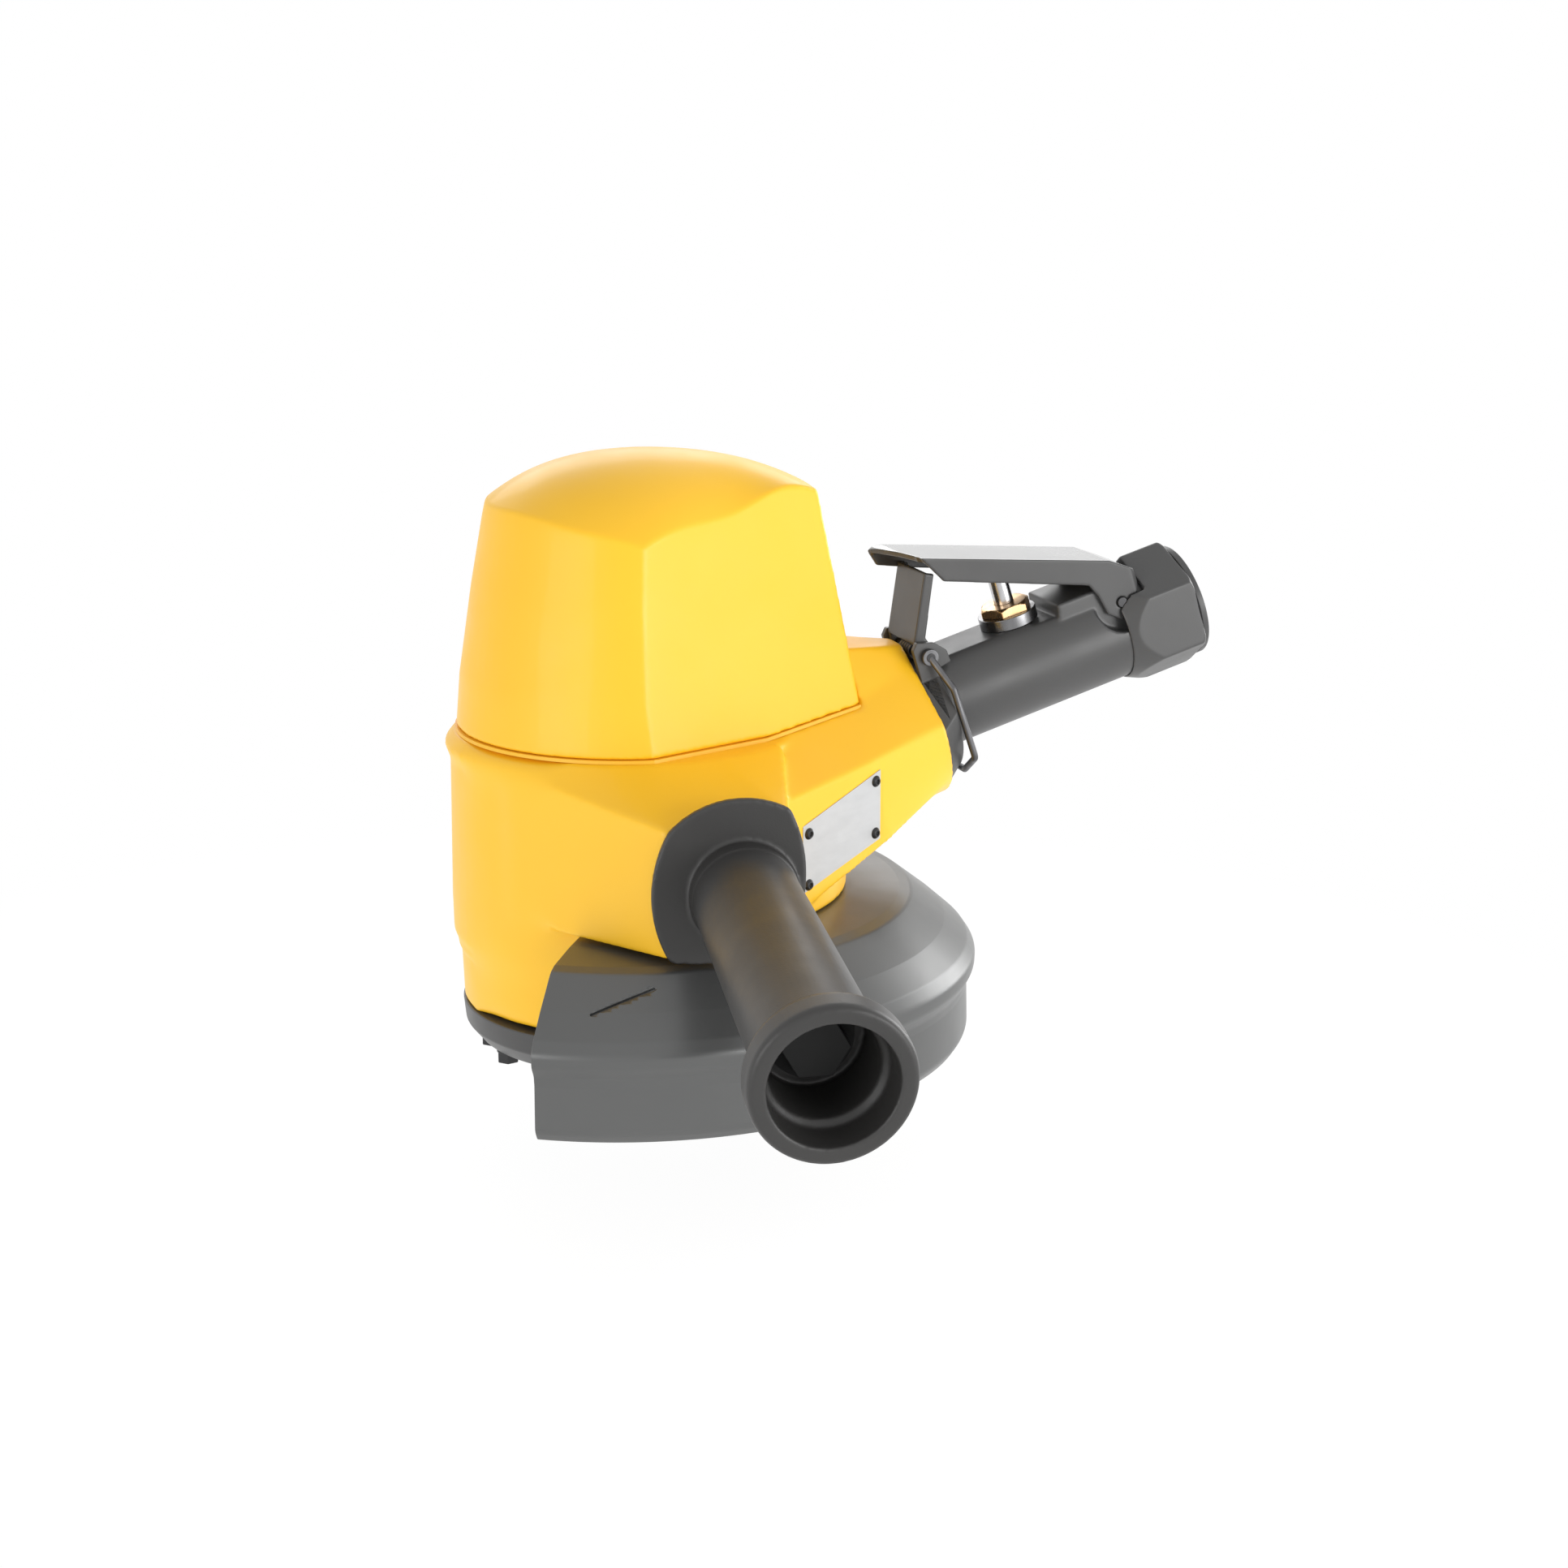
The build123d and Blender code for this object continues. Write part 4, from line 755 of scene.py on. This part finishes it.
def points_mesh(name, points, chain=False):
    """Loose points, or a chain of edges through them."""
    mesh = bpy.data.meshes.new(name)
    edges = [(i, i + 1) for i in range(len(points) - 1)] if chain else []
    mesh.from_pydata(points, edges, [])
    return mesh


def cover_bolt_heads():
    """Hexagon heads with a collar on a circle under the lower cover."""
    tree = Tree(
        "bolts_on_a_circle",
        ("Count", "Int"),
        ("Circle", "Float"),
        ("Head Radius", "Float"),
        ("Head Height", "Float"),
        ("Collar", "Float"),
        ("Finish", "Material"),
    )
    given = tree.given
    circle = tree.add("GeometryNodeMeshCircle", {"Vertices": given["Count"], "Radius": given["Circle"]})
    hexagon = tree.add(
        "GeometryNodeMeshCylinder",
        {"Vertices": HEXAGON, "Radius": given["Head Radius"], "Depth": given["Head Height"]},
    )
    collar = tree.add(
        "GeometryNodeMeshCylinder",
        {"Vertices": ROUND_SIDES, "Radius": given["Head Radius"], "Depth": given["Collar"]},
    )
    head = tree.join(
        moved(tree, hexagon, (0, 0, -BOLT_HEAD_T / 2)), moved(tree, collar, (0, 0, -BOLT_COLLAR_T / 2))
    )
    placed_heads = tree.add("GeometryNodeInstanceOnPoints", {"Points": circle, "Instance": head})
    tree.end(moved(tree, placed_heads, (0, 0, BOLT_SEAT_Z), (0, 0, BOLT_PHASE)))
    values = {
        "Count": BOLT_COUNT,
        "Circle": BOLT_CIRCLE,
        "Head Radius": BOLT_HEAD_R,
        "Head Height": BOLT_HEAD_T,
        "Collar": BOLT_COLLAR_T,
    }
    piece = tree.grow("cover_bolt_heads", points_mesh("bolt_seed", [(0, 0, 0)]), DARK_SCREW, **values)
    ease_edges(piece, BOLT_EASE)
    stand_for(piece, "cover_bolts")


def plate_screw_heads():
    """Low round heads with a hexagon socket at the corners of the name plate."""
    along = Vector((cos(PLATE_TURN), sin(PLATE_TURN), 0))
    out = Vector((sin(PLATE_TURN), -cos(PLATE_TURN), 0))
    corners = []
    for u, z in PLATE_SCREWS:
        corners.append(PLATE_POINT + along * u * MM + Vector((0, 0, z * MM)) + out * PLATE_FACE)
    turn = Matrix((along, Vector((0, 0, 1)), out)).transposed().to_euler()
    tree = Tree(
        "screws_on_points",
        ("Radius", "Float"),
        ("Height", "Float"),
        ("Turn", "Vector"),
        ("Finish", "Material"),
    )
    rim = tree.add(
        "GeometryNodeMeshCone",
        {
            "Vertices": ROUND_SIDES,
            "Radius Top": SCREW_HEAD_R * SCREW_TOP_SHARE,
            "Radius Bottom": tree.given["Radius"],
            "Depth": tree.given["Height"],
        },
    )
    socket = tree.add(
        "GeometryNodeMeshCylinder",
        {"Vertices": HEXAGON, "Radius": SCREW_HEAD_R * SOCKET_SHARE, "Depth": tree.given["Height"]},
    )
    head = tree.add(
        "GeometryNodeMeshBoolean",
        {"Mesh 1": rim, "Mesh 2": moved(tree, socket, (0, 0, SCREW_HEAD_T * SOCKET_RISE))},
        operation="DIFFERENCE",
    )
    heads = tree.add(
        "GeometryNodeInstanceOnPoints",
        {"Points": tree.given["Geometry"], "Instance": head, "Rotation": tree.given["Turn"]},
    )
    tree.end(heads)
    piece = tree.grow(
        "plate_screw_heads",
        points_mesh("screw_places", corners),
        DARK_SCREW,
        Radius=SCREW_HEAD_R,
        Height=SCREW_HEAD_T,
        Turn=tuple(turn),
    )
    ease_edges(piece, SCREW_EASE)
    stand_for(piece, "plate_screws")


def wire_along(tree, curve, sides):
    """Round wire of the tree's given radius along a curve."""
    section = tree.add(
        "GeometryNodeCurvePrimitiveCircle", {"Resolution": sides, "Radius": tree.given["Wire"]}
    )
    return tree.add(
        "GeometryNodeCurveToMesh", {"Curve": curve, "Profile Curve": section, "Fill Caps": True}
    )


def coil_tree():
    """Round wire wound on a cylinder along Z from zero to its height."""
    tree = Tree(
        "wound_wire",
        ("Turns", "Float"),
        ("Radius", "Float"),
        ("Height", "Float"),
        ("Wire", "Float"),
        ("Sides", "Int"),
        ("Finish", "Material"),
    )
    given = tree.given
    helix = tree.add(
        "GeometryNodeCurveSpiral",
        {
            "Resolution": COIL_STEPS,
            "Rotations": given["Turns"],
            "Start Radius": given["Radius"],
            "End Radius": given["Radius"],
            "Height": given["Height"],
        },
    )
    tree.end(wire_along(tree, helix, given["Sides"]))
    return tree


COIL = coil_tree()


def coil(name, finish, turns, radius, height, wire, sides):
    seed = points_mesh(name + "_seed", [(0, 0, 0)])
    return COIL.grow(name, seed, finish, Turns=turns, Radius=radius, Height=height, Wire=wire, Sides=sides)


def latch_coil():
    length = 2 * LATCH_COIL_HALF
    piece = coil(
        "latch_coil", WIRE_STEEL, LATCH_COIL_TURNS, LATCH_COIL_R, length, COIL_WIRE, COIL_SIDES
    )
    start = Matrix.Translation(LATCH_PIN + Vector((0, -LATCH_COIL_HALF, 0)))
    piece.data.transform(THROTTLE_FRAME @ start @ Matrix.Rotation(-pi / 2, 4, "X"))
    stand_for(piece, "latch_spring")


def joined(name, *pieces):
    """One piece from several that share a body."""
    form = bmesh.new()
    for piece in pieces:
        form.from_mesh(piece.data)
        bpy.data.objects.remove(piece)
    whole = as_piece(name, form)
    whole.data.set_sharp_from_angle(angle=JOINED_CREASE)
    return whole


def threaded_spindle():
    """Spindle with its nose turned down to the thread's root and the thread wound on it."""
    form = merged_form("spindle")
    root = (THREAD_R - THREAD_DEPTH) / THREAD_R
    for vert in form.verts:
        if vert.co.z < NOSE_TOP:
            vert.co.x *= root
            vert.co.y *= root
    shaft = as_piece("spindle_shaft", form)
    ease_edges(shaft, SPINDLE_EASE)
    length = THREAD_HIGH - THREAD_LOW
    turns = length / THREAD_PITCH
    ridge = coil(
        "nose_thread", STEEL, turns, THREAD_R - THREAD_DEPTH, length, THREAD_DEPTH, THREAD_SIDES
    )
    ridge.data.transform(Matrix.Translation((0, 0, THREAD_LOW)))
    stand_for(joined("threaded_spindle", shaft, ridge), "spindle")


def bail():
    """Round wire bent under the handle, with an eye at each end of the latch pin."""
    leg = [Vector(point) * MM for point in BAIL_LEG]
    path = leg + [Vector((p.x, -p.y, p.z)) for p in reversed(leg)]
    tree = Tree("bent_wire", ("Bend", "Float"), ("Wire", "Float"), ("Finish", "Material"))
    curve = tree.add("GeometryNodeMeshToCurve", {"Mesh": tree.given["Geometry"]})
    rounded = tree.add(
        "GeometryNodeFilletCurve",
        {"Curve": curve, "Count": BAIL_BEND_STEPS, "Radius": tree.given["Bend"], "Limit Radius": True},
        mode="POLY",
    )
    tree.end(wire_along(tree, rounded, BAIL_SIDES))
    chain = points_mesh("bail_path", path, True)
    wire = tree.grow("bail_wire", chain, WIRE_STEEL, Bend=BAIL_BEND, Wire=BAIL_WIRE)
    eyes = bmesh.new()
    for way in (1, -1):
        middle = LATCH_PIN + Vector((0, way * (BAIL_EYE[0] + BAIL_EYE[1]) / 2, 0))
        lie = Matrix.Translation(middle) @ Matrix.Rotation(pi / 2, 4, "X")
        bmesh.ops.create_cone(
            eyes,
            cap_ends=True,
            segments=BAIL_EYE_SIDES,
            radius1=BAIL_EYE_R,
            radius2=BAIL_EYE_R,
            depth=BAIL_EYE[1] - BAIL_EYE[0],
            matrix=lie,
        )
    discs = ease_edges(as_piece("bail_eyes", eyes), BAIL_EYE_EASE)
    piece = joined("wire_bail_bent", wire, discs)
    piece.data.transform(THROTTLE_FRAME)
    stand_for(piece, "wire_bail")


def threaded_inlet():
    """Inlet bush with the thread wound round the wall of its bore."""
    bush = softened("bush_body", "inlet_bushing", BUSH_GRAIN, BUSH_PASSES, BUSH_SHARE, lean=-TUBE_RISE)
    length = INLET_TO - INLET_FROM
    turns = length / INLET_PITCH
    ridge = coil("inlet_thread", CHARCOAL, turns, INLET_R, length, INLET_DEPTH, THREAD_SIDES)
    start = Matrix.Translation((INLET_FROM, 0, 0))
    ridge.data.transform(THROTTLE_FRAME @ start @ Matrix.Rotation(pi / 2, 4, "Y"))
    stand_for(joined("threaded_inlet", bush, ridge), "inlet_bushing")


cover_bolt_heads()
plate_screw_heads()
threaded_inlet()
latch_coil()
threaded_spindle()
bail()


# Stage, light, camera


def background_rays(tree):
    """Factor that is 1 where the background is seen directly, mirrored or through glass."""
    path = tree.nodes.new("ShaderNodeLightPath")
    mirrored = combined(tree, "MAXIMUM", path.outputs["Is Glossy Ray"], path.outputs["Is Transmission Ray"])
    return combined(tree, "MAXIMUM", path.outputs["Is Camera Ray"], mirrored)


def combined(tree, operation, first, second):
    node = tree.nodes.new("ShaderNodeMath")
    node.operation = operation
    tree.links.new(first, node.inputs[0])
    tree.links.new(second, node.inputs[1])
    return node.outputs[0]


def studio_floor():
    """White floor that keeps a faint shadow near the object and runs out into the white room."""
    form = bmesh.new()
    bmesh.ops.create_circle(form, cap_ends=True, segments=FLOOR_SIDES, radius=FLOOR_R)
    bmesh.ops.translate(form, verts=form.verts, vec=(0, 0, FLOOR_Z))
    floor = as_piece("studio_floor", form)
    material, principled, place = shader("pale_floor")
    tree = material.node_tree
    tone = spread(material, noise(material, place, FLOOR_PATCH), 0, 1)
    colour = two_tone(material, tone, grey(FLOOR_TONES[0]), grey(FLOOR_TONES[1]))
    tree.links.new(colour, principled.inputs["Base Color"])
    principled.inputs["Roughness"].default_value = FLOOR_ROUGHNESS
    principled.inputs["Emission Color"].default_value = WHITE
    principled.inputs["Emission Strength"].default_value = FLOOR_GLOW
    reach = tree.nodes.new("ShaderNodeVectorMath")
    reach.operation = "LENGTH"
    tree.links.new(place, reach.inputs[0])
    share = spread(material, reach.outputs["Value"], *FLOOR_WHITE, *FLOOR_FADE)
    glow = tree.nodes.new("ShaderNodeEmission")
    glow.inputs["Strength"].default_value = 1.0
    mix = tree.nodes.new("ShaderNodeMixShader")
    tree.links.new(combined(tree, "MULTIPLY", background_rays(tree), share), mix.inputs["Fac"])
    tree.links.new(principled.outputs["BSDF"], mix.inputs[1])
    tree.links.new(glow.outputs["Emission"], mix.inputs[2])
    tree.links.new(mix.outputs["Shader"], tree.nodes["Material Output"].inputs["Surface"])
    floor.data.materials.append(material)


def studio_room():
    """Room that lights softly and is seen as white."""
    world = bpy.data.worlds.new("studio_room")
    bpy.context.scene.world = world
    world.use_nodes = True
    tree = world.node_tree
    soft = tree.nodes["Background"]
    soft.inputs["Color"].default_value = WHITE
    soft.inputs["Strength"].default_value = ROOM_LIGHT
    white = tree.nodes.new("ShaderNodeBackground")
    white.inputs["Color"].default_value = WHITE
    white.inputs["Strength"].default_value = 1.0
    mix = tree.nodes.new("ShaderNodeMixShader")
    tree.links.new(background_rays(tree), mix.inputs["Fac"])
    tree.links.new(soft.outputs["Background"], mix.inputs[1])
    tree.links.new(white.outputs["Background"], mix.inputs[2])
    tree.links.new(mix.outputs["Shader"], tree.nodes["World Output"].inputs["Surface"])


def softbox(name, at, aim, size, power):
    light = bpy.data.lights.new(name, "AREA")
    light.shape = "RECTANGLE"
    light.size = size[0]
    light.size_y = size[1]
    light.energy = power
    lamp = bpy.data.objects.new(name, light)
    bpy.context.scene.collection.objects.link(lamp)
    lamp.location = at
    lamp.rotation_euler = (Vector(aim) - Vector(at)).to_track_quat("-Z", "Y").to_euler()


def photo_camera():
    data = bpy.data.cameras.new("photo_view")
    data.lens = CAMERA_LENS
    data.sensor_width = CAMERA_SENSOR
    data.clip_start = CAMERA_NEAR
    eye = bpy.data.objects.new("photo_view", data)
    bpy.context.scene.collection.objects.link(eye)
    eye.location = CAMERA_AT
    level = cos(CAMERA_DOWN)
    view = Vector((sin(CAMERA_TURN) * level, cos(CAMERA_TURN) * level, -sin(CAMERA_DOWN)))
    eye.rotation_euler = view.to_track_quat("-Z", "Y").to_euler()
    bpy.context.scene.camera = eye


studio_floor()
studio_room()
for box in SOFTBOXES:
    softbox(*box)
photo_camera()
bpy.context.scene.view_settings.view_transform = "Standard"
